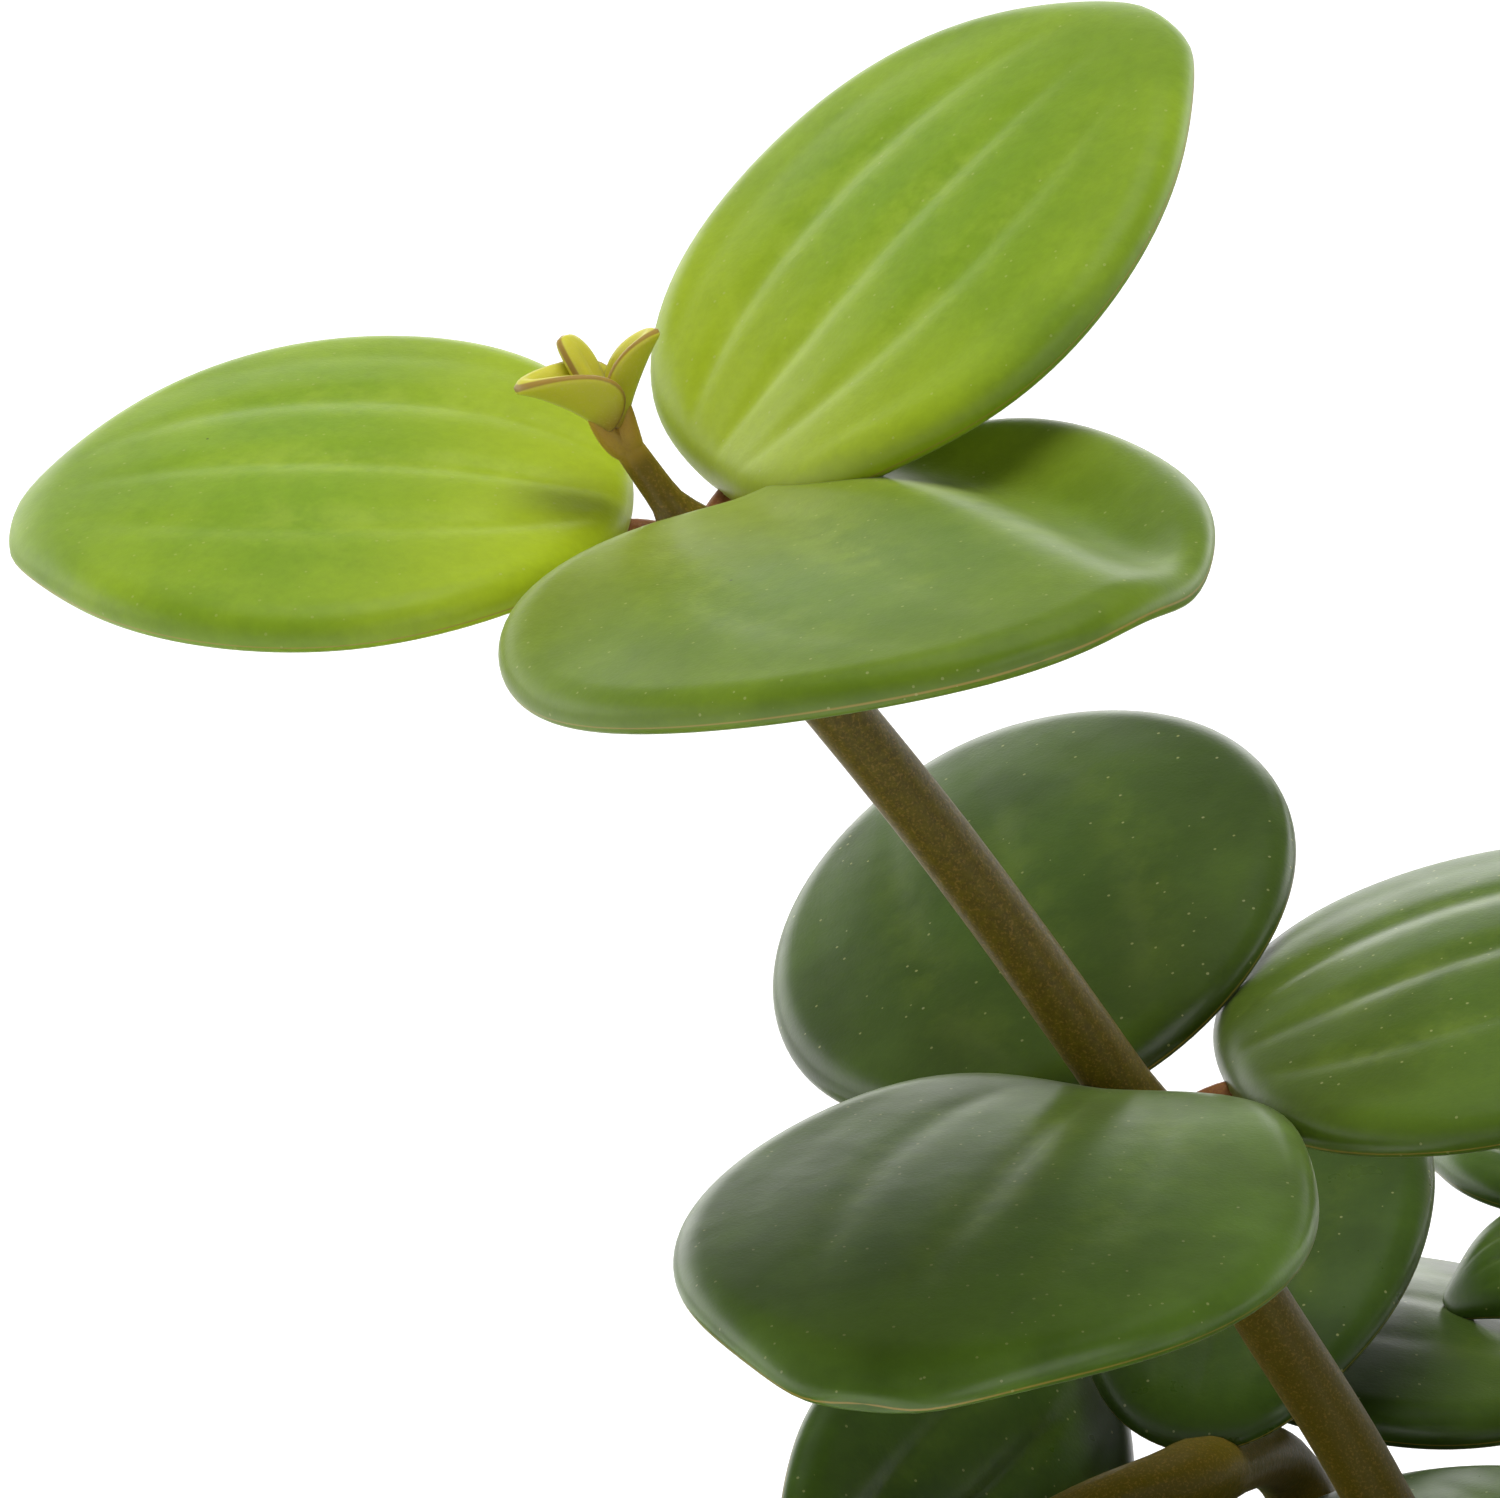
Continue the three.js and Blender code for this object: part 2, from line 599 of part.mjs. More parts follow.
// Adds the petiole's end in the stem to the points, and gives the faces from the rim to it
function petioleFaces(leaf, points, corners) {
  const start = points.length;
  const half = leaf.bud ? 0.6 * BUD_HALF_THICKNESS : PETIOLE_HALF_WIDTH;
  for (const [left, up] of [[1, 1], [1, -1], [-1, -1], [-1, 1]]) {
    points.push(leaf.node.clone()
      .addScaledVector(leaf.axes.across, 0.8 * half * left)
      .addScaledVector(leaf.axes.up, 0.8 * half * up));
  }
  const faces = [[start, start + 1, start + 2], [start, start + 2, start + 3]];
  for (let k = 0; k < 4; k += 1) {
    const next = (k + 1) % 4;
    faces.push([corners[k], corners[next], start + next], [corners[k], start + next, start + k]);
  }
  return faces;
}

// A round tube through points, with a radius at each and flat ends
function tubeGeometry(path, radii, sides) {
  const points = [];
  let normal = new THREE.Vector3(1, 0.2, 0.1);
  path.forEach((centre, k) => {
    const before = path[Math.max(k - 1, 0)];
    const after = path[Math.min(k + 1, path.length - 1)];
    const ahead = after.clone().sub(before).normalize();
    normal = normal.clone().addScaledVector(ahead, -normal.dot(ahead)).normalize();
    const level = ahead.clone().cross(normal);
    for (let side = 0; side < sides; side += 1) {
      const angle = (2 * Math.PI * side) / sides;
      points.push(centre.clone()
        .addScaledVector(normal, radii[k] * Math.cos(angle))
        .addScaledVector(level, radii[k] * Math.sin(angle)));
    }
  });
  const faces = [];
  for (let ring = 0; ring + 1 < path.length; ring += 1) {
    for (let side = 0; side < sides; side += 1) {
      const a = ring * sides + side;
      const b = ring * sides + ((side + 1) % sides);
      faces.push([a, b, b + sides], [a, b + sides, a + sides]);
    }
  }
  const end = (path.length - 1) * sides;
  for (let side = 1; side + 1 < sides; side += 1) {
    faces.push([0, side + 1, side], [end, end + side, end + side + 1]);
  }
  return closedGeometry(points, faces);
}

// Radius of a stem at each point of its smooth path
function stemRadii(shoot, steps) {
  const lastNode = (shoot.path.length - 2) * steps;
  const end = (shoot.path.length - 1) * steps;
  return Array.from({ length: end + 1 }, (unused, k) => {
    if (k <= lastNode) return THREE.MathUtils.lerp(STEM_FOOT_RADIUS, STEM_NODE_RADIUS, k / lastNode);
    const beyond = (k - lastNode) / (end - lastNode);
    return THREE.MathUtils.lerp(0.8 * STEM_NODE_RADIUS, STEM_TIP_RADIUS, beyond);
  });
}

function toSolid(geometry) {
  const bare = geometry.clone();
  bare.deleteAttribute("normal");
  bare.deleteAttribute("uv");
  const merged = mergeVertices(bare, 1e-4);
  return new wasm.Manifold(new wasm.Mesh({
    numProp: 3,
    vertProperties: new Float32Array(merged.getAttribute("position").array),
    triVerts: new Uint32Array(merged.getIndex().array),
  }));
}

function toMesh(solid, name, material) {
  const result = solid.getMesh();
  const geometry = new THREE.BufferGeometry();
  geometry.setAttribute("position", new THREE.Float32BufferAttribute(result.vertProperties, 3));
  geometry.setIndex(Array.from(result.triVerts));
  const faceted = geometry.toNonIndexed();
  faceted.computeVertexNormals();
  const mesh = new THREE.Mesh(faceted, material);
  mesh.name = name;
  return mesh;
}

const leafyMaterial = new THREE.MeshStandardMaterial({ color: 0x4a6b2a, roughness: 0.42, metalness: 0 });
const soilMaterial = new THREE.MeshStandardMaterial({ color: 0x3a2a1f, roughness: 0.95, metalness: 0 });
const clayMaterial = new THREE.MeshStandardMaterial({ color: 0xb5683f, roughness: 0.85, metalness: 0 });

// Stem, petioles, leaves and bud of one shoot, grown together in one solid. A gap that closes up
// between the folded leaves of the bud is filled.
function leafyStem(shoot) {
  const leading = shoot === LEADING_SHOOT;
  const sides = leading ? LEADING_SIDES : PLAIN_SIDES;
  const steps = leading ? LEADING_STEPS : PLAIN_STEPS;
  let solid = toSolid(tubeGeometry(smoothPath(shoot.path, steps), stemRadii(shoot, steps), sides));
  for (const leaf of shoot.leaves) {
    if (leaf.bud) {
      solid = solid.add(toSolid(bladeGeometry(leaf, BUD_RINGS, BUD_HALF_THICKNESS)));
    } else {
      const rings = leading && leaf.offset ? FINE_RINGS : PLAIN_RINGS;
      solid = solid.add(toSolid(bladeGeometry(leaf, rings, BLADE_HALF_THICKNESS)));
    }
  }
  const whole = solid.decompose().reduce((most, piece) => (piece.volume() > most.volume() ? piece : most));
  return toMesh(whole, shoot.name, leafyMaterial);
}

function lathe(profile) {
  const points = profile.map(([radius, z]) => new THREE.Vector2(radius, z));
  const geometry = new THREE.LatheGeometry(points, POT_SIDES);
  return geometry.rotateX(Math.PI / 2);
}

// Inner radius of the pot at a height, where the soil lies
function potInnerRadius(z) {
  const neck = POT_HEIGHT - COLLAR_HEIGHT;
  return THREE.MathUtils.lerp(POT_BASE_RADIUS, POT_NECK_RADIUS, z / neck) - POT_WALL;
}

function soil(shoots) {
  const bottom = POT_FLOOR + FIT_GAP;
  let solid = toSolid(lathe([
    [0, bottom],
    [potInnerRadius(bottom) - FIT_GAP, bottom],
    [potInnerRadius(SOIL_TOP) - FIT_GAP, SOIL_TOP],
    [0.6 * CROWN_RADIUS, SOIL_TOP + 0.8 * SOIL_DOME],
    [0, SOIL_TOP + SOIL_DOME],
  ]));
  for (const shoot of shoots) {
    const [foot, above] = shoot.path.map(vector);
    const below = foot.clone().sub(above).setLength(FIT_GAP).add(foot);
    const radius = STEM_FOOT_RADIUS + 2 * FIT_GAP;
    solid = solid.subtract(toSolid(tubeGeometry([below, above], [radius, radius], STEM_HOLE_SIDES)));
  }
  return toMesh(solid, "soil", soilMaterial);
}

function pot() {
  const collarFoot = POT_HEIGHT - COLLAR_HEIGHT;
  let solid = toSolid(lathe([
    [0, 0],
    [POT_BASE_RADIUS, 0],
    [POT_NECK_RADIUS, collarFoot - COLLAR_LEDGE],
    [COLLAR_FOOT_RADIUS, collarFoot],
    [COLLAR_RADIUS, POT_HEIGHT - RIM_BEVEL],
    [COLLAR_RADIUS - RIM_BEVEL, POT_HEIGHT],
    [COLLAR_RADIUS - POT_WALL + RIM_BEVEL, POT_HEIGHT],
    [COLLAR_RADIUS - POT_WALL, POT_HEIGHT - RIM_BEVEL],
    [potInnerRadius(SOIL_TOP), SOIL_TOP],
    [potInnerRadius(POT_FLOOR), POT_FLOOR],
    [0, POT_FLOOR],
  ]));
  for (let hole = 0; hole < DRAIN_HOLES; hole += 1) {
    const angle = (2 * Math.PI * hole) / DRAIN_HOLES + Math.PI / 2;
    const length = 3 * POT_FLOOR;
    const cutter = new THREE.CylinderGeometry(DRAIN_HOLE_RADIUS, DRAIN_HOLE_RADIUS, length, DRAIN_HOLE_SIDES);
    cutter.rotateX(Math.PI / 2);
    cutter.translate(DRAIN_HOLE_REACH * Math.cos(angle), DRAIN_HOLE_REACH * Math.sin(angle), POT_FLOOR / 2);
    solid = solid.subtract(toSolid(cutter));
  }
  return toMesh(solid, "pot", clayMaterial);
}

const shoots = growPlant();
const peperomia = new THREE.Group();
peperomia.add(pot());
peperomia.add(soil(shoots));
for (const shoot of shoots) {
  peperomia.add(leafyStem(shoot));
}

export default peperomia;
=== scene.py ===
import math
from itertools import product
from types import SimpleNamespace

import bmesh
import bpy
import numpy as np
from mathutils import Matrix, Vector


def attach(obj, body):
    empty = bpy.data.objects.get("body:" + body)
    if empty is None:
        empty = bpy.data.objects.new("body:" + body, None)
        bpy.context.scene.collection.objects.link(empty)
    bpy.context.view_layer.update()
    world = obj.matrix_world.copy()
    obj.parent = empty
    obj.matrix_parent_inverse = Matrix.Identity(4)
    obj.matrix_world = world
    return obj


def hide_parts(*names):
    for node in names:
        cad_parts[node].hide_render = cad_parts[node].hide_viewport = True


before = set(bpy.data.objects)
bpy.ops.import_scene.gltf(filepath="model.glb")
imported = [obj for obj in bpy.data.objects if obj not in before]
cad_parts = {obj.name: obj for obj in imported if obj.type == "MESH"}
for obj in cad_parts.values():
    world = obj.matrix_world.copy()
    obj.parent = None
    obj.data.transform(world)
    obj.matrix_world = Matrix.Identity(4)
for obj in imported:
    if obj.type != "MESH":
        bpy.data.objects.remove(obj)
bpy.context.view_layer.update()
MM = 0.001

# Camera: the photo's middle lies this far right of and below the leading shoot's top node
TOP_NODE = np.array([-58.0, -30.0, 180.0])
CAMERA_RIGHT = 1.8
CAMERA_BELOW = 7.96
CAMERA_DISTANCE = 900.0
CAMERA_ELEVATION = 15.0
PHOTO_WIDTH = 60.0  # what the image is wide at the top node
SENSOR_WIDTH = 36.0
CAMERA_CLIP = (0.02, 60)  # in metres

# Pot and soil, in mm. A rounding is how far from its corner an edge starts to round off.
POT_HEIGHT = 104.0
POT_BASE_RADIUS = 41.0
POT_NECK_RADIUS = 53.0
COLLAR_RADIUS = 60.0
COLLAR_FOOT_RADIUS = 58.0
COLLAR_HEIGHT = 24.0
COLLAR_LEDGE = 2.0  # height of the slope below the collar
POT_WALL = 5.0
POT_FLOOR = 6.0
POT_SIDES = 144
POT_SHARP_ANGLE = 50.0  # edges that turn more than this stay sharp
RIM_ROUNDING = 1.6
BASE_ROUNDING = 1.2
COLLAR_ROUNDING = 0.9
LEDGE_ROUNDING = 0.8
FLOOR_ROUNDING = 1.0
ROUNDING_POINTS = 5
DRAIN_HOLE_RADIUS = 4.5
DRAIN_HOLE_REACH = 22.0
DRAIN_HOLES = 3
DRAIN_HOLE_SIDES = 32
SOIL_TOP = 92.0
SOIL_DOME = 2.0  # how far its middle stands above its edge
FIT_GAP = 0.35
ROOT_DEPTH = 13.0

# Leaf blade: the usual leaf, and how much a leaf may differ from it. Lengths in mm.
BLADE = dict(length=25.5, width=24.5, cup=0.8, dome=0.075, bend=-0.4, fold=1.6, lobe=0.4, egg=0.05,
             point=1.2, skew=0.0, veined=1.0, wave=0.0, bud=0.0)
LEAF_SIZES = (0.88, 1.06)
LEAF_WIDTHS = (0.92, 1.04)
LEAF_CHANGES = dict(cup=(-0.5, 0.5), bend=(-0.6, 0.5), fold=(-0.6, 0.8), lobe=(-0.3, 0.4),
                    skew=(-0.8, 0.8))
LEAF_ROLLS = (-12, 12)
LOBE_ANGLE = 0.55
LOBE_SPREAD = 0.34
POINT_SPREAD = 0.42
POINT_ROUND = 0.35
POINT_ROUND_SPREAD = 0.15
FOLD_REACH = 0.3
FOLD_SHARPNESS = 0.01
BLADE_HALF_THICKNESS = 0.8
BUD_HALF_THICKNESS = 0.34
MARGIN_ROLL = 1.5  # width of the strip along the margin that rolls over
BUD_MARGIN_ROLL = 0.4
PETIOLE_LENGTH = 2.4
PETIOLE_LIFT = 1.2
STEM_FOOT_RADIUS = 1.45
STEM_NODE_RADIUS = 1.26  # at the last node
STEM_TIP_RADIUS = 0.58
MEASURED_STEPS = 4  # steps for each leg of a stem where distances to it are measured

# Room that leaves and stems keep, as in the CAD solids
LEAF_CLEARANCE = 2.25
STEM_CLEARANCE = 2.6
STEM_APART = 4.0
NEAR_MARGIN = 0.6  # share of a clearance that is kept round a blade's outline
NEAR_POINT = 0.6  # how far a blade's point reaches past its oval
OWN_STEM_FREE = 5.5  # round a leaf's node its own stem doesn't count
LEAF_REACH = 20.0  # nothing farther from a leaf's middle can touch it
LEAVES_REACH = 34.0  # nor can a leaf whose middle is farther off
FREE_OVER_SOIL = 4.0
FREE_OVER_RIM = 3.0
SOIL_PAST_MOUTH = 1.0
FREE_INSIDE_RIM = 4.0
FREE_OUTSIDE_RIM = 3.5
FREE_OVER_GROUND = 8.0
# The leading shoot stands alone in the air to the left of OPEN_AIR_X and above OPEN_AIR_Z, two
# limits that lean with their distance from the viewer
OPEN_AIR_X = -24.2
OPEN_AIR_X_LEAN = 0.035
OPEN_AIR_Z = 129.5
OPEN_AIR_Z_LEAN = 0.268
SAMPLE_RINGS = [(0, 1), (0.28, 6), (0.52, 12), (0.76, 18), (1, 24)]

# The three tiny leaves of every bud
BUD_LEAVES = [
    dict(azimuth=188, rise=46, length=4.3, width=2.8, cup=1.8, bend=-1.6, egg=0.1),
    dict(azimuth=2, rise=82, length=4.5, width=1.7, cup=1, bend=-1, egg=-0.1),
    dict(azimuth=150, rise=63, length=4.4, width=1.6, cup=0.2, bend=-0.4, egg=-0.4),
]
BUD_LENGTH = 4.4
BUD_ROOM = 0.1  # how far from the stem's middle the bud's leaves start
BUD_FORM = dict(roll=0, dome=0, fold=0.3, lobe=0, point=-0.25, skew=0, veined=0.3, wave=0.0, bud=1.0,
                fresh=1.0, tone=0.0)

# The three shoots given one by one: path from the foot to the bud, with the index of each
# whorl's node in it. foot is where a blade starts, counted from its node. Angles in degrees.
# fresh is 0 for an old leaf and 1 for a new one, tone makes a leaf darker or lighter, veined is how
# deep its veins are, and wave how deep the valley in its left half is. The tones given here are
# painted light and shade: they darken leaves that lie in shade or face the dim front, and lighten
# the low front leaf where light falls on it.
LEADING_SHOOT = dict(
    path=[(-14, -13, 79), (-16.5, -14.5, 96), (-20.5, -17.5, 112), (-26, -21, 128), (-31, -23, 139),
          (-35.6, -24.2, 147), (-39.8, -25.4, 154.3), (-48.6, -27.6, 167.5), (-58, -30, 180),
          (-61.6, -30.8, 185.2)],
    turn=0,
    whorls=[
        (8, [dict(azimuth=20.4, rise=40.6, roll=10.4, length=25.5, width=24.4, cup=1.2, dome=0.078,
                  bend=-0.15, fold=2.2, lobe=0.6, egg=0.01, point=1.4, skew=2.3, foot=(0.5, 1.4, 2.1),
                  fresh=0.9, tone=0, veined=1.3),
             dict(azimuth=171.8, rise=-2, roll=-14.8, length=24.2, width=24.6, cup=1.15, dome=0.083,
                  bend=0.2, fold=1.15, lobe=0, egg=0.04, point=1.4, skew=0.1, foot=(-2.9, 0.3, 1.2),
                  fresh=1, tone=0, veined=1.1),
             dict(azimuth=-71.2, rise=2.5, roll=15.2, length=26.5, width=27.9, cup=-0.65, dome=0.015,
                  bend=-1.2, fold=2.7, lobe=-0.5, egg=0.12, point=0.3, skew=3, foot=(1.3, -2.2, 1.9),
                  fresh=0.55, tone=-0.9, veined=0.5, wave=1.5)]),
        (6, [dict(azimuth=104.7, rise=15.5, roll=-26.3, length=26.6, width=23, cup=0.1, dome=0.056,
                  bend=-0.25, fold=0.7, lobe=0, egg=0.01, point=0.8, skew=-0.75, foot=(-1.7, 2.6, 1.4),
                  fresh=0.06, tone=-2, veined=0.6),
             dict(azimuth=-111.6, rise=-8.1, roll=0.8, length=26.4, width=25.8, cup=-0.05, dome=0.052,
                  bend=-0.5, fold=1.35, lobe=2.2, egg=-0.01, point=2.2, skew=-0.2, foot=(-1.7, -1.2, 1.7),
                  fresh=0.06, tone=3, veined=0.5),
             dict(azimuth=10, rise=13.8, roll=8.5, length=25.6, width=24.5, cup=0.25, dome=0.073,
                  bend=-0.45, fold=0.25, lobe=0.3, egg=0.11, point=1, skew=0.1, foot=(2.8, 0.4, 2.2),
                  fresh=0.1, tone=0, veined=1)]),
        (3, [dict(azimuth=111.8, rise=8.8, roll=-15.3, length=21.5, width=20.5, cup=0.1, bend=-0.6,
                  foot=(2, 3, -0.4), fresh=0),
             dict(azimuth=232, rise=-4),
             dict(azimuth=-8, rise=6)]),
    ],
)
ARCHING_SHOOT = dict(
    path=[(-22, 6, 79), (-24.5, 9, 100), (-29.5, 9.5, 118.5), (-33.5, 5.5, 130.6), (-37.6, -4, 133.4),
          (-43.5, -6.5, 131.8), (-50, -10, 128), (-55.5, -12.5, 124.6), (-64, -16, 116),
          (-71, -19, 104), (-74, -20, 98)],
    turn=40,
    whorls=[
        (4, [dict(azimuth=72.5, rise=26, roll=-1.5, length=25.2, width=14.5, cup=1.3, bend=-0.6,
                  foot=(-0.2, 1.5, 0.7), fresh=0, tone=-1.5, veined=0.5),
             dict(azimuth=-38, rise=6)]),
        (7, [dict(azimuth=53, rise=18.6, roll=58, length=22, width=15.5, cup=0, bend=-0.4,
                  foot=(1.7, 1.2, 3.6), fresh=0),
             dict(azimuth=-75, rise=-8)]),
        (9, [dict(azimuth=200, rise=-6), dict(azimuth=80, rise=0), dict(azimuth=-40, rise=0)]),
    ],
)
SHELTERED_SHOOT = dict(
    path=[(-5, 17, 79), (-7, 17.5, 96), (-11, 17.5, 114), (-16.6, 16.7, 129.4), (-17.8, 18.6, 138),
          (-18.2, 19.2, 143)],
    turn=80,
    whorls=[
        (4, [dict(azimuth=196, rise=-14, roll=-20, length=8.5, width=7, cup=0.5, bend=-0.3,
                  foot=(-0.2, -1.6, 0), fresh=0),
             dict(azimuth=152, rise=8, roll=-10, length=10.5, width=9, cup=0.5, bend=-0.3,
                  foot=(0.6, 1.2, 0.5), fresh=0),
             dict(azimuth=40, rise=20)]),
        (3, [dict(azimuth=185, rise=11.5, roll=-1.3, length=21.5, width=23.5, cup=-0.3, bend=-0.6,
                  foot=(-2.6, -0.1, 1.9), fresh=0.05, tone=-1, veined=0.3),
             dict(azimuth=65, rise=20),
             dict(azimuth=-55, rise=12)]),
        (1, [dict(azimuth=125, rise=5), dict(azimuth=-115, rise=5), dict(azimuth=5, rise=5)]),
    ],
)

HAND_SET_SHOOTS = (LEADING_SHOOT, ARCHING_SHOOT, SHELTERED_SHOOT)

# The other stems follow one rule, from the middle of the pot outwards. Angles in degrees.
STEM_COUNT = 14
CROWN_RADIUS = 37.0
SPIRAL_START = 0.6  # keeps the first stem off the pot's middle
GOLDEN_ANGLE = 137.508
FIRST_HEADING = 96.0
FIRST_NODE = 24.0  # above the soil
NODE_STEP = 27.0
STEP_SHARES = (0.92, 1.08)
MOST_NODES = 4
FEWEST_NODES = 2
NODE_SHRINK = 0.08  # how much shorter each step is than the one below
BUD_STEP = 5.5
FOOT_LEAN = (4, 10)  # lowest and highest lean of a stem at its foot
OUTER_LEAN = 13.0  # how much more an outermost stem leans
LOW_LEAN_SHARE = 0.3  # how much of that is left where the leading shoot hangs over
CURL_RUN = 10.0
CURL = (0.4, 1.6)  # how much a stem curls outwards in each run
OUTER_CURL = 4.4  # how much more an outermost stem curls
LOW_CURL = 8.0  # how much more the stems below the leading shoot curl
LOW_SPREAD = 1.4  # how wide round the pot that side is
SWING_RUN = 13.0
SWING = 4.0  # how far a stem swings sideways in each run at most
YOUNG_RISE = 18.0  # how much steeper the top leaves stand
YOUTH_LOSS = 0.3  # share of that lost at each node further down
LEAVES_IN_WHORL = 3
WHORL_STEP = 120.0  # between the leaves of a whorl, which stand half of it off those below
LEAF_TURNS = (-12, 12)
LEAF_RISES = (-4, 10)
RANDOM_SEED = 7

# What a leaf that would touch something tries in turn: another size, rise and direction
TRIED_SIZES = (1, 0.88, 0.76, 0.64)
TRIED_LIFTS = (0, 12, -12, 24, -24, 38)
TRIED_TURNS = (0, 14, -14, 28, -28)

DRAW_FACTOR = 1664525
DRAW_STEP = 1013904223
DRAW_RANGE = 4294967296

random_state = RANDOM_SEED


def draw(low, high):
    global random_state
    random_state = (random_state * DRAW_FACTOR + DRAW_STEP) % DRAW_RANGE
    return low + ((high - low) * random_state) / DRAW_RANGE


def unit(vector):
    return vector / np.linalg.norm(vector)


# A blade's outline: angle 0 is the tip and a half turn is the petiole
def outline_parts(leaf, angle):
    from_lobe = (np.abs(angle) - (math.pi - LOBE_ANGLE)) / LOBE_SPREAD
    pointed = np.exp(-(angle / POINT_SPREAD) ** 2)
    rounded = POINT_ROUND * np.exp(-(angle / POINT_ROUND_SPREAD) ** 2)
    middle = 0.5 * leaf.length * (1 + np.cos(angle)) + leaf.point * (pointed - rounded)
    back = leaf.lobe * np.exp(-from_lobe**2)
    half = 0.5 * leaf.width * np.sin(angle) * (1 - leaf.egg * np.cos(angle))
    return middle, back, half


def outline_points(leaf, angle):
    middle, back, half = outline_parts(leaf, angle)
    x = middle - back
    return x, half + leaf.skew * (x / leaf.length) ** 2


# Height of a blade's middle surface
def blade_height(leaf, x, y):
    across = 2 * y / leaf.width
    along = x / leaf.length
    near_petiole = np.exp(-(np.maximum(along, 0) / FOLD_REACH) ** 2)
    crease = np.sqrt(across**2 + FOLD_SHARPNESS)
    bulge = leaf.dome * leaf.length * (4 * along * (1 - along) - across**2)
    return leaf.cup * across**2 + leaf.bend * along**2 + bulge + leaf.fold * crease * near_petiole


# Directions along the midrib, across the blade to its left, and up out of its face
def set_axes(leaf):
    azimuth, rise, roll = (math.radians(a) for a in (leaf.azimuth, leaf.rise, leaf.roll))
    level_share = math.cos(rise)
    along = np.array([math.cos(azimuth) * level_share, math.sin(azimuth) * level_share, math.sin(rise)])
    level = np.array([-math.sin(azimuth), math.cos(azimuth), 0.0])
    above = np.cross(along, level)
    leaf.along = along
    leaf.across = level * math.cos(roll) + above * math.sin(roll)
    leaf.up = above * math.cos(roll) - level * math.sin(roll)


def blade_points(leaf, x, y, height):
    x, y, height = (np.asarray(a, float)[..., None] for a in (x, y, height))
    return leaf.foot + x * leaf.along + y * leaf.across + height * leaf.up


def blade_samples(leaf):
    x, y = [], []
    middle = 0.5 * leaf.length
    for reach, count in SAMPLE_RINGS:
        turn = 2 * math.pi * np.arange(count) / count
        ring_x, ring_y = outline_points(leaf, np.where(turn > math.pi, turn - 2 * math.pi, turn))
        x.append(middle + reach * (ring_x - middle))
        y.append(reach * ring_y)
    x, y = np.concatenate(x), np.concatenate(y)
    return blade_points(leaf, x, y, blade_height(leaf, x, y))


# Uniform Catmull-Rom curve through a stem's points
def smooth_path(path, steps):
    points = [np.array(p, float) for p in path]
    points = [2 * points[0] - points[1]] + points + [2 * points[-1] - points[-2]]
    smooth = []
    for a, b, c, d in zip(points, points[1:], points[2:], points[3:]):
        for step in range(steps):
            t = step / steps
            smooth.append(0.5 * (a * (-t + 2 * t**2 - t**3) + b * (2 - 5 * t**2 + 3 * t**3)
                                 + c * (t + 4 * t**2 - 3 * t**3) + d * (-(t**2) + t**3)))
    return np.array(smooth + [points[-2]])


def in_open_air(p):
    x, y, z = p[..., 0], p[..., 1], p[..., 2]
    return (x < OPEN_AIR_X + OPEN_AIR_X_LEAN * y) & (z > OPEN_AIR_Z - OPEN_AIR_Z_LEAN * y)


def meets_pot_or_soil(p):
    reach = np.hypot(p[..., 0], p[..., 1])
    z = p[..., 2]
    mouth = COLLAR_RADIUS - POT_WALL
    on_soil = (reach < mouth + SOIL_PAST_MOUTH) & (z < SOIL_TOP + FREE_OVER_SOIL)
    by_rim = (reach > mouth - FREE_INSIDE_RIM) & (reach < COLLAR_RADIUS + FREE_OUTSIDE_RIM)
    return on_soil | (by_rim & (z < POT_HEIGHT + FREE_OVER_RIM)) | (z < FREE_OVER_GROUND)


# A stem by the rule: it leans and curls more the nearer it stands to the pot's wall
def ruled_shoot(index):
    spread = math.sqrt((index + SPIRAL_START) / STEM_COUNT)
    heading = math.radians(index * GOLDEN_ANGLE + FIRST_HEADING)
    low = min(max(-LOW_SPREAD * math.cos(heading), 0), 1)
    outer_lean = OUTER_LEAN * (1 + (LOW_LEAN_SHARE - 1) * low)
    lean = math.radians(draw(*FOOT_LEAN) + outer_lean * spread)
    curl = math.radians(draw(*CURL) + OUTER_CURL * spread**2 + LOW_CURL * low) / CURL_RUN
    swing = math.radians(draw(-SWING, SWING)) / SWING_RUN
    legs = [ROOT_DEPTH + FIRST_NODE / 2, FIRST_NODE / 2]
    for node in range(1, MOST_NODES):
        step = NODE_STEP * draw(*STEP_SHARES) * (1 - NODE_SHRINK * node)
        legs += [step / 2, step / 2]
    turn = draw(0, WHORL_STEP)
    foot = CROWN_RADIUS * spread
    path = [np.array([foot * math.cos(heading), foot * math.sin(heading), SOIL_TOP - ROOT_DEPTH])]
    for leg in legs:
        out = leg * math.sin(lean)
        path.append(path[-1] + (out * math.cos(heading), out * math.sin(heading), leg * math.cos(lean)))
        lean += curl * leg
        heading += swing * leg
    return end_in_bud(path, turn)


# Keeps the nodes that have room, adds the bud and gives each node its leaves
def end_in_bud(path, turn):
    ats = [2 + 2 * node for node in range(MOST_NODES)]
    kept = MOST_NODES
    for node, at in enumerate(ats):
        bud_end = path[at] + (BUD_STEP + BUD_LENGTH) * unit(path[at] - path[at - 1])
        if in_open_air(bud_end) or meets_pot_or_soil(path[at]):
            kept = node
            break
    if kept < FEWEST_NODES:
        return None
    end = ats[kept - 1]
    bud = path[end] + BUD_STEP * unit(path[end] - path[end - 1])
    whorls = []
    for node, at in enumerate(ats[:kept]):
        youth = max(1 - YOUTH_LOSS * (kept - 1 - node), 0)
        leaves = []
        for k in range(LEAVES_IN_WHORL):
            azimuth = turn + WHORL_STEP * k + WHORL_STEP / 2 * node + draw(*LEAF_TURNS)
            leaves.append(dict(azimuth=azimuth, rise=draw(*LEAF_RISES) + YOUNG_RISE * youth))
        whorls.append((at, leaves))
    return dict(path=path[: end + 1] + [bud], turn=turn, whorls=whorls)


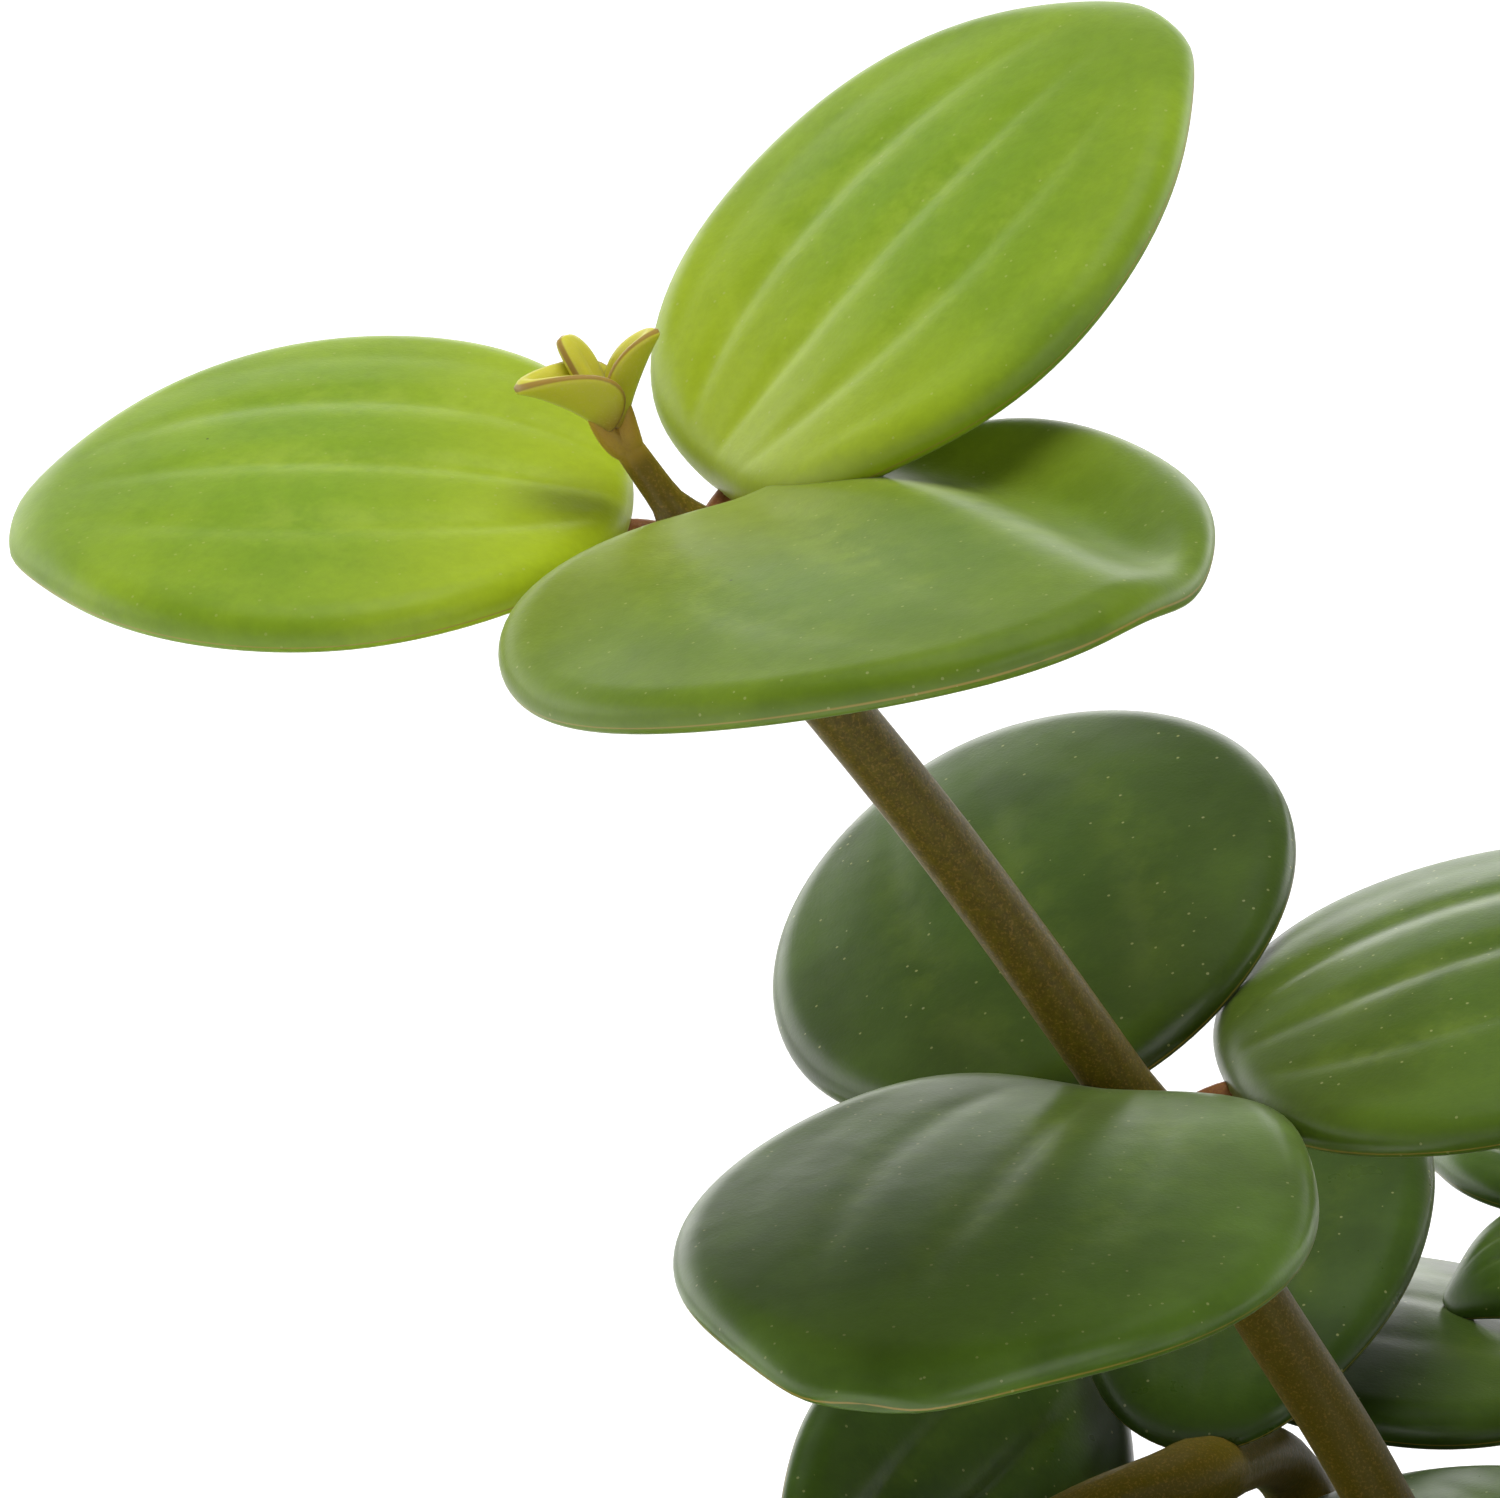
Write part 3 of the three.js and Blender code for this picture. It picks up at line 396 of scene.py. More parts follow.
# Fills in a leaf
def whole_leaf(leaf, node):
    size = draw(*LEAF_SIZES)
    drawn = dict(BLADE, length=BLADE["length"] * size)
    drawn["width"] = BLADE["width"] * size * draw(*LEAF_WIDTHS)
    for name, change in LEAF_CHANGES.items():
        drawn[name] = BLADE[name] + draw(*change)
    drawn["roll"] = draw(*LEAF_ROLLS)
    return seat_leaf(dict(drawn, **leaf, node=node, offset=leaf.get("foot")))


# Works out where a blade starts, its directions and its middle
def seat_leaf(values):
    leaf = SimpleNamespace(**values)
    azimuth = math.radians(leaf.azimuth)
    out = STEM_NODE_RADIUS + PETIOLE_LENGTH
    offset = leaf.offset
    if offset is None:
        offset = (out * math.cos(azimuth), out * math.sin(azimuth), PETIOLE_LIFT)
    leaf.foot = leaf.node + np.array(offset, float)
    set_axes(leaf)
    leaf.middle = leaf.foot + 0.5 * leaf.length * leaf.along
    leaf.samples = blade_samples(leaf)
    return leaf


# True for each point that lies closer to the blade's middle surface than the clearance
def near_blade(leaf, points, clearance):
    away = points - leaf.foot
    x, y, z = away @ leaf.along, away @ leaf.across, away @ leaf.up
    margin = NEAR_MARGIN * clearance
    sweep = leaf.skew * (np.clip(x, 0, leaf.length) / leaf.length) ** 2
    u = (x - 0.5 * leaf.length) / (0.5 * leaf.length + margin + NEAR_POINT)
    v = (y - sweep) / (0.5 * leaf.width + margin)
    return (u * u + v * v < 1) & (np.abs(z - blade_height(leaf, x, y)) < clearance)


def distances(points, place):
    return np.linalg.norm(points - place, axis=-1)


def has_room(leaf, stems, placed):
    if np.any(in_open_air(leaf.samples) | meets_pot_or_soil(leaf.samples)):
        return False
    stems = stems[distances(stems, leaf.middle) < LEAF_REACH]
    if np.any(near_blade(leaf, stems, STEM_CLEARANCE)):
        return False
    near = [other for other in placed if math.dist(other.middle, leaf.middle) < LEAVES_REACH]
    if not near:
        return True
    if np.any(near_blade(leaf, np.concatenate([other.samples for other in near]), LEAF_CLEARANCE)):
        return False
    return not any(np.any(near_blade(other, leaf.samples, LEAF_CLEARANCE)) for other in near)


# The first try of a leaf that has room, or None
def find_room(leaf, shoot, shoots, placed):
    own = shoot.measured[distances(shoot.measured, leaf.node) >= OWN_STEM_FREE]
    stems = np.concatenate([own] + [other.measured for other in shoots if other is not shoot])
    for size, lift, turn in product(TRIED_SIZES, TRIED_LIFTS, TRIED_TURNS):
        values = dict(vars(leaf), azimuth=leaf.azimuth + turn, rise=leaf.rise + lift)
        values.update(length=leaf.length * size, width=leaf.width * size)
        tried = seat_leaf(values)
        if has_room(tried, stems, placed):
            return tried
    return None


def bud_leaves(shoot):
    before, tip = (np.array(p, float) for p in shoot.path[-2:])
    ahead = unit(tip - before)
    leaves = []
    for leaf in BUD_LEAVES:
        azimuth = leaf["azimuth"] + shoot.turn
        sideways = np.array([math.cos(math.radians(azimuth)), math.sin(math.radians(azimuth)), 0.0])
        values = dict(BUD_FORM, **leaf)
        values.update(azimuth=azimuth, node=tip - ahead, offset=ahead + BUD_ROOM * sideways)
        leaves.append(seat_leaf(values))
    return leaves


def add_shoot(values, shoots, placed, waiting):
    shoot = SimpleNamespace(**values)
    shoot.buds = bud_leaves(shoot)
    shoot.leaves = []
    placed += shoot.buds
    for at, leaves in shoot.whorls:
        rank = sum(other > at for other, _ in shoot.whorls)
        for leaf in leaves:
            whole = whole_leaf(dict(leaf, rank=rank), np.array(shoot.path[at], float))
            if whole.offset is None:
                waiting.append((shoot, whole))
            else:
                shoot.leaves.append(whole)
                placed.append(whole)
    shoots.append(shoot)


def stem_has_room(measured, shoots, placed):
    if any(np.any(near_blade(leaf, measured, STEM_CLEARANCE)) for leaf in placed):
        return False
    return all(np.all(distances(other.measured[:, None], measured) > STEM_APART) for other in shoots)


# All shoots with their leaves: those given one by one come first
def grow_plant():
    shoots, placed, waiting = [], [], []
    for shoot in HAND_SET_SHOOTS:
        measured = smooth_path(shoot["path"], MEASURED_STEPS)
        add_shoot(dict(shoot, measured=measured), shoots, placed, waiting)
    for index in range(STEM_COUNT):
        shoot = ruled_shoot(index)
        if shoot:
            measured = smooth_path(shoot["path"], MEASURED_STEPS)
            if stem_has_room(measured, shoots, placed):
                add_shoot(dict(shoot, measured=measured), shoots, placed, waiting)
    for shoot, leaf in waiting:
        seated = find_room(leaf, shoot, shoots, placed)
        if seated:
            shoot.leaves.append(seated)
            placed.append(seated)
    return shoots


# Meshes. A part of a mesh has points in mm, its quads and triangles, and numbers for each point
# that the materials read.
LEAF_MARKS = ("fresh", "along", "edge", "vein", "tone", "bud")
STEM_MARKS = ("height", "petiole")
# Place of each long vein across the blade, from -1 to 1, its depth in mm and its half width
VEINS = [
    (0.0, 0.18, 0.065),
    (0.42, 0.15, 0.07),
    (-0.42, 0.15, 0.07),
    (0.74, 0.03, 0.06),
    (-0.74, 0.03, 0.06),
]
VEIN_START = 0.22  # how far along the blade the veins are at their full depth
VEIN_END = 0.97  # how far along the blade they reach
VEIN_FADE = 0.45
VEIN_STREAK = 2.2  # how wide a vein's pale streak is, as a share of its groove
# A wave's valley runs from near the midrib towards the margin, in shares of the half width and,
# where it fades in and out, of the length
WAVE_START = 0.2
WAVE_SWEEP = 0.55
WAVE_BEND = 0.22
WAVE_WIDTH = 0.17
WAVE_CREST = 0.12  # height of its crest, as a share of its depth
WAVE_CREST_AWAY = 1.6  # from the valley to the crest, in valley widths
WAVE_FADES = (0.0, 0.3, 0.65, 1.05)
MARGIN_HEIGHT = -0.4  # where the two faces meet, as a share of half the thickness
UNDER_ROLL = 0.35  # how wide the lower face's roll is, as a share of the upper one's
SLOPE_STEP = 0.05
FIRST_NORMAL = (1.0, 0.2, 0.1)  # from it the sides of a tube are worked out
# Rows and columns of a blade's grid: for leaves given one by one, other leaves and bud leaves
HERO_GRID = (60, 88)
PLAIN_GRID = (26, 20)
BUD_GRID = (26, 18)
# How fresh the drawn leaves are: in the top whorl and in the others. Tones of all.
YOUNG_FRESH = (0.5, 0.95)
OLD_FRESH = (0, 0.12)
TONES = (-1, 1)
SHADE_SEED = 11

shade_random = np.random.default_rng(SHADE_SEED)


def smooth_step(low, high, value):
    t = np.clip((value - low) / (high - low), 0, 1)
    return t * t * (3 - 2 * t)


# A blade's grid: rows from the tip to the petiole, columns from the right margin to the left one.
# Both faces share the margin's points, and each end is one point.
def blade_grid(rows, columns):
    row, column = np.meshgrid(np.arange(rows + 1), np.arange(columns + 1), indexing="ij")
    top = row * (columns + 1) + column
    top[0, :] = top[0, 0]
    top[rows, :] = top[rows, 0]
    under = top + top.size
    shared = (row == 0) | (row == rows) | (column == 0) | (column == columns)
    under[shared] = top[shared]
    used, index = np.unique(np.concatenate([top.ravel(), under.ravel()]), return_inverse=True)
    top_index = index[: top.size].reshape(top.shape)
    under_index = index[top.size:].reshape(top.shape)
    side = np.where(used < top.size, 1.0, -1.0)
    place = used % top.size
    turn = math.pi * (place // (columns + 1)) / rows
    across = np.sin(math.pi * ((place % (columns + 1)) / columns - 0.5))
    quads, triangles = [], []
    for grid, step in ((top_index, 1), (under_index, -1)):
        for i, j in product(range(rows), range(columns)):
            corners = [grid[i, j], grid[i, j + 1], grid[i + 1, j + 1], grid[i + 1, j]][::step]
            corners = [c for k, c in enumerate(corners) if c != corners[k - 1]]
            (quads if len(corners) == 4 else triangles).append(corners)
    return SimpleNamespace(turn=turn, across=across, side=side, quads=np.array(quads),
                           triangles=np.array(triangles))


def vein_relief(along, across):
    fade = smooth_step(0, VEIN_START, along) * (1 - smooth_step(VEIN_END - VEIN_FADE, VEIN_END, along))
    groove, streak = 0, 0
    for place, depth, width in VEINS:
        away = (across - place) / width
        groove = groove + depth * np.exp(-(away**2))
        streak = streak + depth / VEINS[0][1] * np.exp(-((away / VEIN_STREAK) ** 2))
    return groove * fade, np.clip(streak, 0, 1) * fade


# A valley along the left half of a blade, with a crest on its inner side
def wave_relief(leaf, along, across):
    valley = WAVE_START + WAVE_SWEEP * (1 - np.exp(-along / WAVE_BEND))
    away = (across - valley) / WAVE_WIDTH
    depth = np.exp(-(away**2)) - WAVE_CREST * np.exp(-((away + WAVE_CREST_AWAY) ** 2))
    fade = smooth_step(*WAVE_FADES[:2], along) * (1 - smooth_step(*WAVE_FADES[2:], along))
    return leaf.wave * depth * fade


# The two faces of a blade with sunken veins. Its upper face rolls over to the margin.
def blade_part(leaf, grid, half_thickness, roll):
    middle, back, half = outline_parts(leaf, grid.turn)
    x = middle - back * grid.across**2
    y = half * grid.across + leaf.skew * (x / leaf.length) ** 2
    reach = np.sqrt(np.cos(grid.turn) ** 2 + (grid.across * np.sin(grid.turn)) ** 2)
    inward = (1 - reach) * 0.5 * min(leaf.length, leaf.width)
    rolled = np.where(grid.side > 0, roll, UNDER_ROLL * roll)
    rise = np.sqrt(1 - (1 - np.clip(inward / rolled, 0, 1)) ** 2)
    low = MARGIN_HEIGHT * half_thickness
    thickness = low + (grid.side * half_thickness - low) * rise
    depth, vein = vein_relief(x / leaf.length, grid.across)
    height = blade_height(leaf, x, y) - depth * leaf.veined
    height = height - wave_relief(leaf, x / leaf.length, 2 * y / leaf.width)
    step = SLOPE_STEP
    slope_x = (blade_height(leaf, x + step, y) - blade_height(leaf, x - step, y)) / (2 * step)
    slope_y = (blade_height(leaf, x, y + step) - blade_height(leaf, x, y - step)) / (2 * step)
    steep = np.sqrt(1 + slope_x**2 + slope_y**2)
    out = thickness / steep
    points = blade_points(leaf, x - slope_x * out, y - slope_y * out, height + out)
    count = len(x)
    return dict(
        points=points,
        quads=grid.quads,
        triangles=grid.triangles,
        fresh=np.full(count, leaf.fresh),
        along=x / leaf.length,
        edge=reach,
        vein=vein,
        tone=np.full(count, leaf.tone),
        bud=np.full(count, leaf.bud),
    )


# Directions square to a path at each of its points
def path_normals(path):
    ahead = np.gradient(path, axis=0)
    ahead /= np.linalg.norm(ahead, axis=1)[:, None]
    normal = np.array(FIRST_NORMAL)
    normals = []
    for direction in ahead:
        normal = unit(normal - normal.dot(direction) * direction)
        normals.append(normal)
    normals = np.array(normals)
    return normals, np.cross(ahead, normals)


# Faces of rings of points in a row. The two points that close its ends come last.
def ring_faces(rings, sides):
    first, side = np.meshgrid(np.arange(rings - 1) * sides, np.arange(sides), indexing="ij")
    here, after = first + side, first + (side + 1) % sides
    quads = np.stack([here, after, after + sides, here + sides], -1)
    last = (rings - 1) * sides
    ends = [[rings * sides, (k + 1) % sides, k] for k in range(sides)]
    ends += [[rings * sides + 1, last + k, last + (k + 1) % sides] for k in range(sides)]
    return quads.reshape(-1, 4), np.array(ends)


# A round tube along a path, with closed ends
def tube_part(path, radii, sides, **marks):
    normals, others = path_normals(path)
    angle = 2 * math.pi * np.arange(sides) / sides
    ring = normals[:, None] * np.cos(angle)[:, None] + others[:, None] * np.sin(angle)[:, None]
    points = (path[:, None] + np.asarray(radii)[:, None, None] * ring).reshape(-1, 3)
    points = np.concatenate([points, path[:1], path[-1:]])
    quads, ends = ring_faces(len(path), sides)
    filled = {key: np.concatenate([np.repeat(value, sides), value[:1], value[-1:]])
              for key, value in marks.items()}
    return dict(points=points, quads=quads, triangles=ends, **filled)


def make_piece(name, parts, marks, material, replaced=()):
    points = np.concatenate([part["points"] for part in parts]) * MM
    faces, first = [], 0
    for part in parts:
        for key in ("quads", "triangles"):
            faces += (part[key] + first).tolist()
        first += len(part["points"])
    mesh = bpy.data.meshes.new(name)
    mesh.from_pydata(points.tolist(), [], faces)
    for key in marks:
        values = mesh.attributes.new(key, "FLOAT", "POINT")
        values.data.foreach_set("value", np.concatenate([part[key] for part in parts]).astype(np.float32))
    mesh.polygons.foreach_set("use_smooth", np.ones(len(mesh.polygons), bool))
    mesh.materials.append(material)
    mesh.update()
    piece = bpy.data.objects.new(name, mesh)
    bpy.context.scene.collection.objects.link(piece)
    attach(piece, "root")
    if replaced:
        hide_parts(*replaced)
    return piece


NODE_SWELLING = 0.22
NODE_SWELLING_REACH = 1.5
STEM_LEG_STEPS = 10
STEM_SIDES = 20
TIP_SLIMMING = 0.2  # what is left above the last node of the step from its radius to the tip's
TIP_SLIM_REACH = 0.35  # how far up to the bud the stem slims
TIP_END = 0.6  # how wide the stem's very end is, as a share of its tip
PETIOLE_SIDES = 12
PETIOLE_POINTS = 14
PETIOLE_BEND = 0.45  # how far back from the blade and below it the bend lies
# A petiole and the base of a bud leaf: its radii, how far it runs on along the midrib, how deep
# below the blade's middle it ends there, and its marks
PETIOLE = dict(radii=(0.85, 0.62, 0.6, 0.62, 0.5, 0.2), run=2.6, depth=0.62, height=0.5, petiole=1.0)
BUD_BASE = dict(radii=(0.6, 0.6, 0.52, 0.38, 0.15), run=1.4, depth=0.1, height=1.0, petiole=0.0)


def stem_part(shoot):
    path = smooth_path(shoot.path, STEM_LEG_STEPS)
    last_node = (len(shoot.path) - 2) * STEM_LEG_STEPS
    end = len(path) - 1
    k = np.arange(end + 1)
    radii = STEM_FOOT_RADIUS + (STEM_NODE_RADIUS - STEM_FOOT_RADIUS) * k / last_node
    beyond = (k - last_node) / (end - last_node)
    slim = STEM_TIP_RADIUS + TIP_SLIMMING * (STEM_NODE_RADIUS - STEM_TIP_RADIUS) * (1 - beyond)
    radii = radii + (slim - radii) * smooth_step(0, TIP_SLIM_REACH, beyond)
    for at, _ in shoot.whorls:
        away = distances(path, path[at * STEM_LEG_STEPS])
        radii = radii * (1 + NODE_SWELLING * np.exp(-((away / NODE_SWELLING_REACH) ** 2)))
    radii[-1] *= TIP_END
    return tube_part(path, radii, STEM_SIDES, height=k / end, petiole=np.zeros(end + 1))


# A petiole leaves the stem at its node, bends and runs on under the midrib, ever slimmer
def petiole_part(leaf, radii, run, depth, **marks):
    end = leaf.foot + run * leaf.along - depth * leaf.up
    reach = np.linalg.norm(leaf.foot - leaf.node)
    bend = leaf.foot - PETIOLE_BEND * reach * leaf.along - PETIOLE_BEND * leaf.up
    t = np.linspace(0, 1, PETIOLE_POINTS)[:, None]
    path = (1 - t) ** 2 * leaf.node + 2 * t * (1 - t) * bend + t**2 * end
    radii = np.interp(t[:, 0], np.linspace(0, 1, len(radii)), radii)
    filled = {name: np.full(len(path), value) for name, value in marks.items()}
    return tube_part(path, radii, PETIOLE_SIDES, **filled)


# Fills in the looks that a leaf leaves out. A tone is drawn for each leaf, needed or not.
def draw_looks(leaf):
    leaf.tone = getattr(leaf, "tone", shade_random.uniform(*TONES))
    if not hasattr(leaf, "fresh"):
        leaf.fresh = shade_random.uniform(*(YOUNG_FRESH if leaf.rank == 0 else OLD_FRESH))


def grow_pieces(shoots, blade_material, stalk_material):
    hero, plain, bud = (blade_grid(*size) for size in (HERO_GRID, PLAIN_GRID, BUD_GRID))
    for number, shoot in enumerate(shoots, start=1):
        blades, stems = [], [stem_part(shoot)]
        for leaf in shoot.leaves:
            draw_looks(leaf)
            grid = plain if leaf.offset is None else hero
            blades.append(blade_part(leaf, grid, BLADE_HALF_THICKNESS, MARGIN_ROLL))
            stems.append(petiole_part(leaf, **PETIOLE))
        for leaf in shoot.buds:
            blades.append(blade_part(leaf, bud, BUD_HALF_THICKNESS, BUD_MARGIN_ROLL))
            stems.append(petiole_part(leaf, **BUD_BASE))
        node = f"leafy_stem_{number:02d}"
        make_piece(f"leaves_{number:02d}", blades, LEAF_MARKS, blade_material, [node])
        make_piece(f"stem_{number:02d}", stems, STEM_MARKS, stalk_material, [node])


# Materials
def srgb(red, green, blue):
    def linear(value):
        value /= 255
        return value / 12.92 if value <= 0.04045 else ((value + 0.055) / 1.055) ** 2.4
    return (linear(red), linear(green), linear(blue), 1.0)


# Short ways to add and link the nodes of a material or a world
class Nodes:
    def __init__(self, data):
        data.use_nodes = True
        self.data = data
        self.tree = data.node_tree

    def put(self, socket, value):
        if isinstance(value, bpy.types.NodeSocket):
            self.tree.links.new(value, socket)
        else:
            socket.default_value = value

    # Adds a node, fills its inputs by name or index, and returns its outputs
    def add(self, kind, inputs, **settings):
        node = self.tree.nodes.new("ShaderNode" + kind)
        for name, setting in settings.items():
            setattr(node, name, setting)
        for key, value in inputs.items():
            self.put(node.inputs[key], value)
        return node.outputs

    def mark(self, name):
        return self.add("Attribute", {}, attribute_name=name)["Fac"]

    def math(self, operation, *values):
        return self.add("Math", dict(enumerate(values)), operation=operation)[0]

    def span(self, value, low, high, start=0.0, end=1.0, kind="SMOOTHSTEP"):
        inputs = dict(enumerate((value, low, high, start, end)))
        return self.add("MapRange", inputs, interpolation_type=kind)[0]

    # A mix node's sockets for colours come after those for numbers and vectors
    def mix(self, share, first, second, blend="MIX"):
        inputs = {0: share, 6: first, 7: second}
        return self.add("Mix", inputs, data_type="RGBA", blend_type=blend)[2]

    def noise(self, scale, detail=2.0, roughness=0.5, place=None):
        inputs = dict(Vector=place or self.place, Scale=scale, Detail=detail, Roughness=roughness)
        return self.add("TexNoise", inputs)["Fac"]

    def cells(self, scale, output="Distance"):
        return self.add("TexVoronoi", dict(Vector=self.place, Scale=scale))[output]

    def stretch(self, x, y, z):
        return self.add("VectorMath", {0: self.place, 1: (x, y, z)}, operation="MULTIPLY")[0]

    def bump(self, height, distance, strength=1.0, normal=None):
        inputs = dict(Strength=strength, Distance=distance, Height=height)
        if normal:
            inputs["Normal"] = normal
        return self.add("Bump", inputs)["Normal"]

    # Links or sets the shader's sockets, with underscores for the spaces in their names
    def finish(self, **sockets):
        shader = self.tree.nodes["Principled BSDF"]
        for name, value in sockets.items():
            self.put(shader.inputs[name.replace("_", " ")], value)
        return self.data


# Nodes of a new material, with textures placed in mm
def new_material(name):
    nodes = Nodes(bpy.data.materials.new(name))
    coordinates = nodes.add("TexCoord", {})["Object"]
    nodes.place = nodes.add("VectorMath", {0: coordinates, "Scale": 1 / MM}, operation="SCALE")[0]
    return nodes


# Small round specks: one in some of the cells of a grid
def specks(nodes, cells_per_mm, radius, share):
    near = nodes.math("LESS_THAN", nodes.cells(cells_per_mm), radius)
    picked = nodes.math("LESS_THAN", nodes.cells(cells_per_mm, "Color"), share)
    return nodes.math("MULTIPLY", near, picked)


# Green of a leaf, from old to fresh, with pale streaks along its veins
def leaf_green(nodes, fresh, along, edge):
    clouds = nodes.span(nodes.noise(0.16, 3, 0.55), 0.3, 0.7)
    feathers = nodes.span(nodes.noise(0.45, 4, 0.65), 0.38, 0.66)
    grain = nodes.noise(2.2, 3, 0.6)
    middle = nodes.span(edge, 1.0, 0.25)
    old = nodes.mix(clouds, srgb(54, 76, 22), srgb(72, 98, 32))
    old = nodes.mix(nodes.math("MULTIPLY", middle, 0.5), old, srgb(56, 84, 14))
    young = nodes.mix(clouds, srgb(114, 144, 22), srgb(134, 162, 28))
    young = nodes.mix(nodes.math("MULTIPLY", middle, 0.6), young, srgb(108, 146, 8))
    # A fresh leaf is yellower towards its petiole: partly its own colour, partly painted glow of the
    # backlight shining through the blade
    near_petiole = nodes.span(along, 0.55, 0.0, 0, 0.85)
    young = nodes.mix(near_petiole, young, srgb(166, 184, 18))
    colour = nodes.mix(fresh, old, young)
    streaks = nodes.math("MULTIPLY", nodes.mark("vein"), nodes.span(feathers, 0, 1, 0.25, 1, "LINEAR"))
    streaks = nodes.math("MULTIPLY", streaks, nodes.span(fresh, 0, 1, 0.1, 0.35, "LINEAR"))
    colour = nodes.mix(streaks, colour, srgb(178, 198, 72))
    # Drawn tones vary leaves at random; the tones given in the shoot tables are painted light and shade
    shade = nodes.span(nodes.mark("tone"), -3, 3, 0.55, 1.45, "LINEAR")
    colour = nodes.mix(1.0, colour, nodes.span(grain, 0.2, 0.8, 0.92, 1.08, "LINEAR"), "MULTIPLY")
    return nodes.mix(1.0, colour, shade, "MULTIPLY")


# Yellow-green of a bud leaf, browner at its base and along its margin
def bud_green(nodes, along, edge):
    colour = nodes.mix(nodes.span(along, 0.35, 0.0), srgb(196, 190, 58), srgb(152, 122, 46))
    flecks = nodes.span(nodes.noise(8, 2, 0.6), 0.5, 0.75, 0, 0.35)
    colour = nodes.mix(flecks, colour, srgb(206, 190, 110))
    return nodes.mix(nodes.span(edge, 0.965, 0.99, 0, 0.8), colour, srgb(138, 96, 50))


def leaf_material():
    nodes = new_material("leaf_looks")
    fresh, along, edge, bud = (nodes.mark(name) for name in ("fresh", "along", "edge", "bud"))
    colour = nodes.mix(bud, leaf_green(nodes, fresh, along, edge), bud_green(nodes, along, edge))
    colour = nodes.mix(nodes.span(edge, 0.9997, 1.0, 0, 0.85), colour, srgb(156, 132, 62))
    dusty = nodes.span(fresh, 0, 1, 0.42, 0.25, "LINEAR")
    pale = nodes.math("MULTIPLY", specks(nodes, 1.7, 0.11, 0.45), dusty)
    dark = nodes.math("MULTIPLY", specks(nodes, 0.5, 0.04, 0.2), 0.7)
    colour = nodes.mix(pale, colour, srgb(186, 184, 128))
    colour = nodes.mix(dark, colour, srgb(40, 40, 20))
    skin = nodes.bump(nodes.noise(6.5, 2, 0.5), 0.00003, 0.25)
    skin = nodes.bump(nodes.noise(0.5, 1, 0.5), 0.00012, 0.2, skin)
    gloss = nodes.span(nodes.noise(0.5, 3, 0.6), 0.3, 0.7, 0.27, 0.33, "LINEAR")
    roughness = nodes.math("ADD", gloss, nodes.span(fresh, 0, 1, 0, 0.14, "LINEAR"))
    return nodes.finish(
        Base_Color=colour,
        Roughness=roughness,
        Normal=skin,
        Subsurface_Weight=0.3,
        Subsurface_Scale=0.0012,
        Subsurface_Radius=(0.9, 1.0, 0.12),
        Specular_IOR_Level=0.42,
        Sheen_Weight=0.2,
        Sheen_Roughness=0.35,
        Sheen_Tint=srgb(240, 244, 214),
    )


def stem_material():
    nodes = new_material("stem_looks")
    height, petiole = nodes.mark("height"), nodes.mark("petiole")
    fine = nodes.noise(3.0, 3, 0.6)
    olive = nodes.mix(nodes.span(height, 0.3, 0.9), srgb(98, 84, 2), srgb(82, 70, 12))
    colour = nodes.mix(nodes.span(fine, 0.35, 0.65), olive, srgb(96, 84, 10))
    # Lighter olive above the last node: painted glow of the backlight through the thin stem tip
    colour = nodes.mix(nodes.span(height, 0.9, 0.96, 0, 0.7), colour, srgb(126, 104, 26))
    colour = nodes.mix(nodes.span(height, 0.96, 0.985, 0, 0.85), colour, srgb(190, 152, 58))
    colour = nodes.mix(petiole, colour, nodes.mix(fine, srgb(116, 62, 38), srgb(146, 100, 58)))
    flecks = nodes.span(nodes.noise(9, 2, 0.6), 0.5, 0.7, 0, 0.42)
    colour = nodes.mix(flecks, colour, srgb(164, 126, 56))
    return nodes.finish(
        Base_Color=colour,
        Roughness=0.42,
        Normal=nodes.bump(fine, 0.00005, 0.6),
        Subsurface_Weight=0.2,
        Subsurface_Scale=0.0008,
        Subsurface_Radius=(1.0, 0.7, 0.1),
        Specular_IOR_Level=0.25,
        Sheen_Weight=0.1,
        Sheen_Tint=srgb(236, 206, 180),
    )


def clay_material():
    nodes = new_material("clay_looks")
    clouds = nodes.noise(0.035, 4, 0.55)
    colour = nodes.mix(nodes.span(clouds, 0.35, 0.7), srgb(176, 98, 62), srgb(196, 122, 84))
    bloom = nodes.span(nodes.noise(0.06, 5, 0.65), 0.52, 0.75, 0, 0.4)
    colour = nodes.mix(bloom, colour, srgb(216, 186, 162))
    colour = nodes.mix(specks(nodes, 0.8, 0.12, 0.35), colour, srgb(140, 74, 46))
    throwing = nodes.noise(1.0, 2, 0.5, nodes.stretch(0.02, 0.02, 0.8))
    normal = nodes.bump(throwing, 0.0003, 0.35)
    normal = nodes.bump(nodes.noise(1.6, 4, 0.65), 0.00012, 0.5, normal)
    return nodes.finish(Base_Color=colour, Roughness=0.85, Normal=normal)


def soil_material():
    nodes = new_material("soil_looks")
    clouds = nodes.noise(0.12, 3, 0.6)
    colour = nodes.mix(nodes.span(clouds, 0.3, 0.7), srgb(44, 31, 22), srgb(72, 53, 38))
    colour = nodes.mix(nodes.span(nodes.noise(1.4, 4, 0.7), 0.45, 0.7), colour, srgb(92, 70, 50))
    normal = nodes.bump(nodes.noise(1.2, 5, 0.7), 0.0008, 0.9)
    return nodes.finish(Base_Color=colour, Roughness=0.95, Normal=normal)


def perlite_material():
    nodes = new_material("perlite_looks")
    colour = nodes.mix(nodes.noise(1.2, 3, 0.6), srgb(205, 200, 190), srgb(238, 236, 230))
    normal = nodes.bump(nodes.noise(2.0, 3, 0.6), 0.0004, 0.8)
    return nodes.finish(Base_Color=colour, Roughness=0.8, Normal=normal)


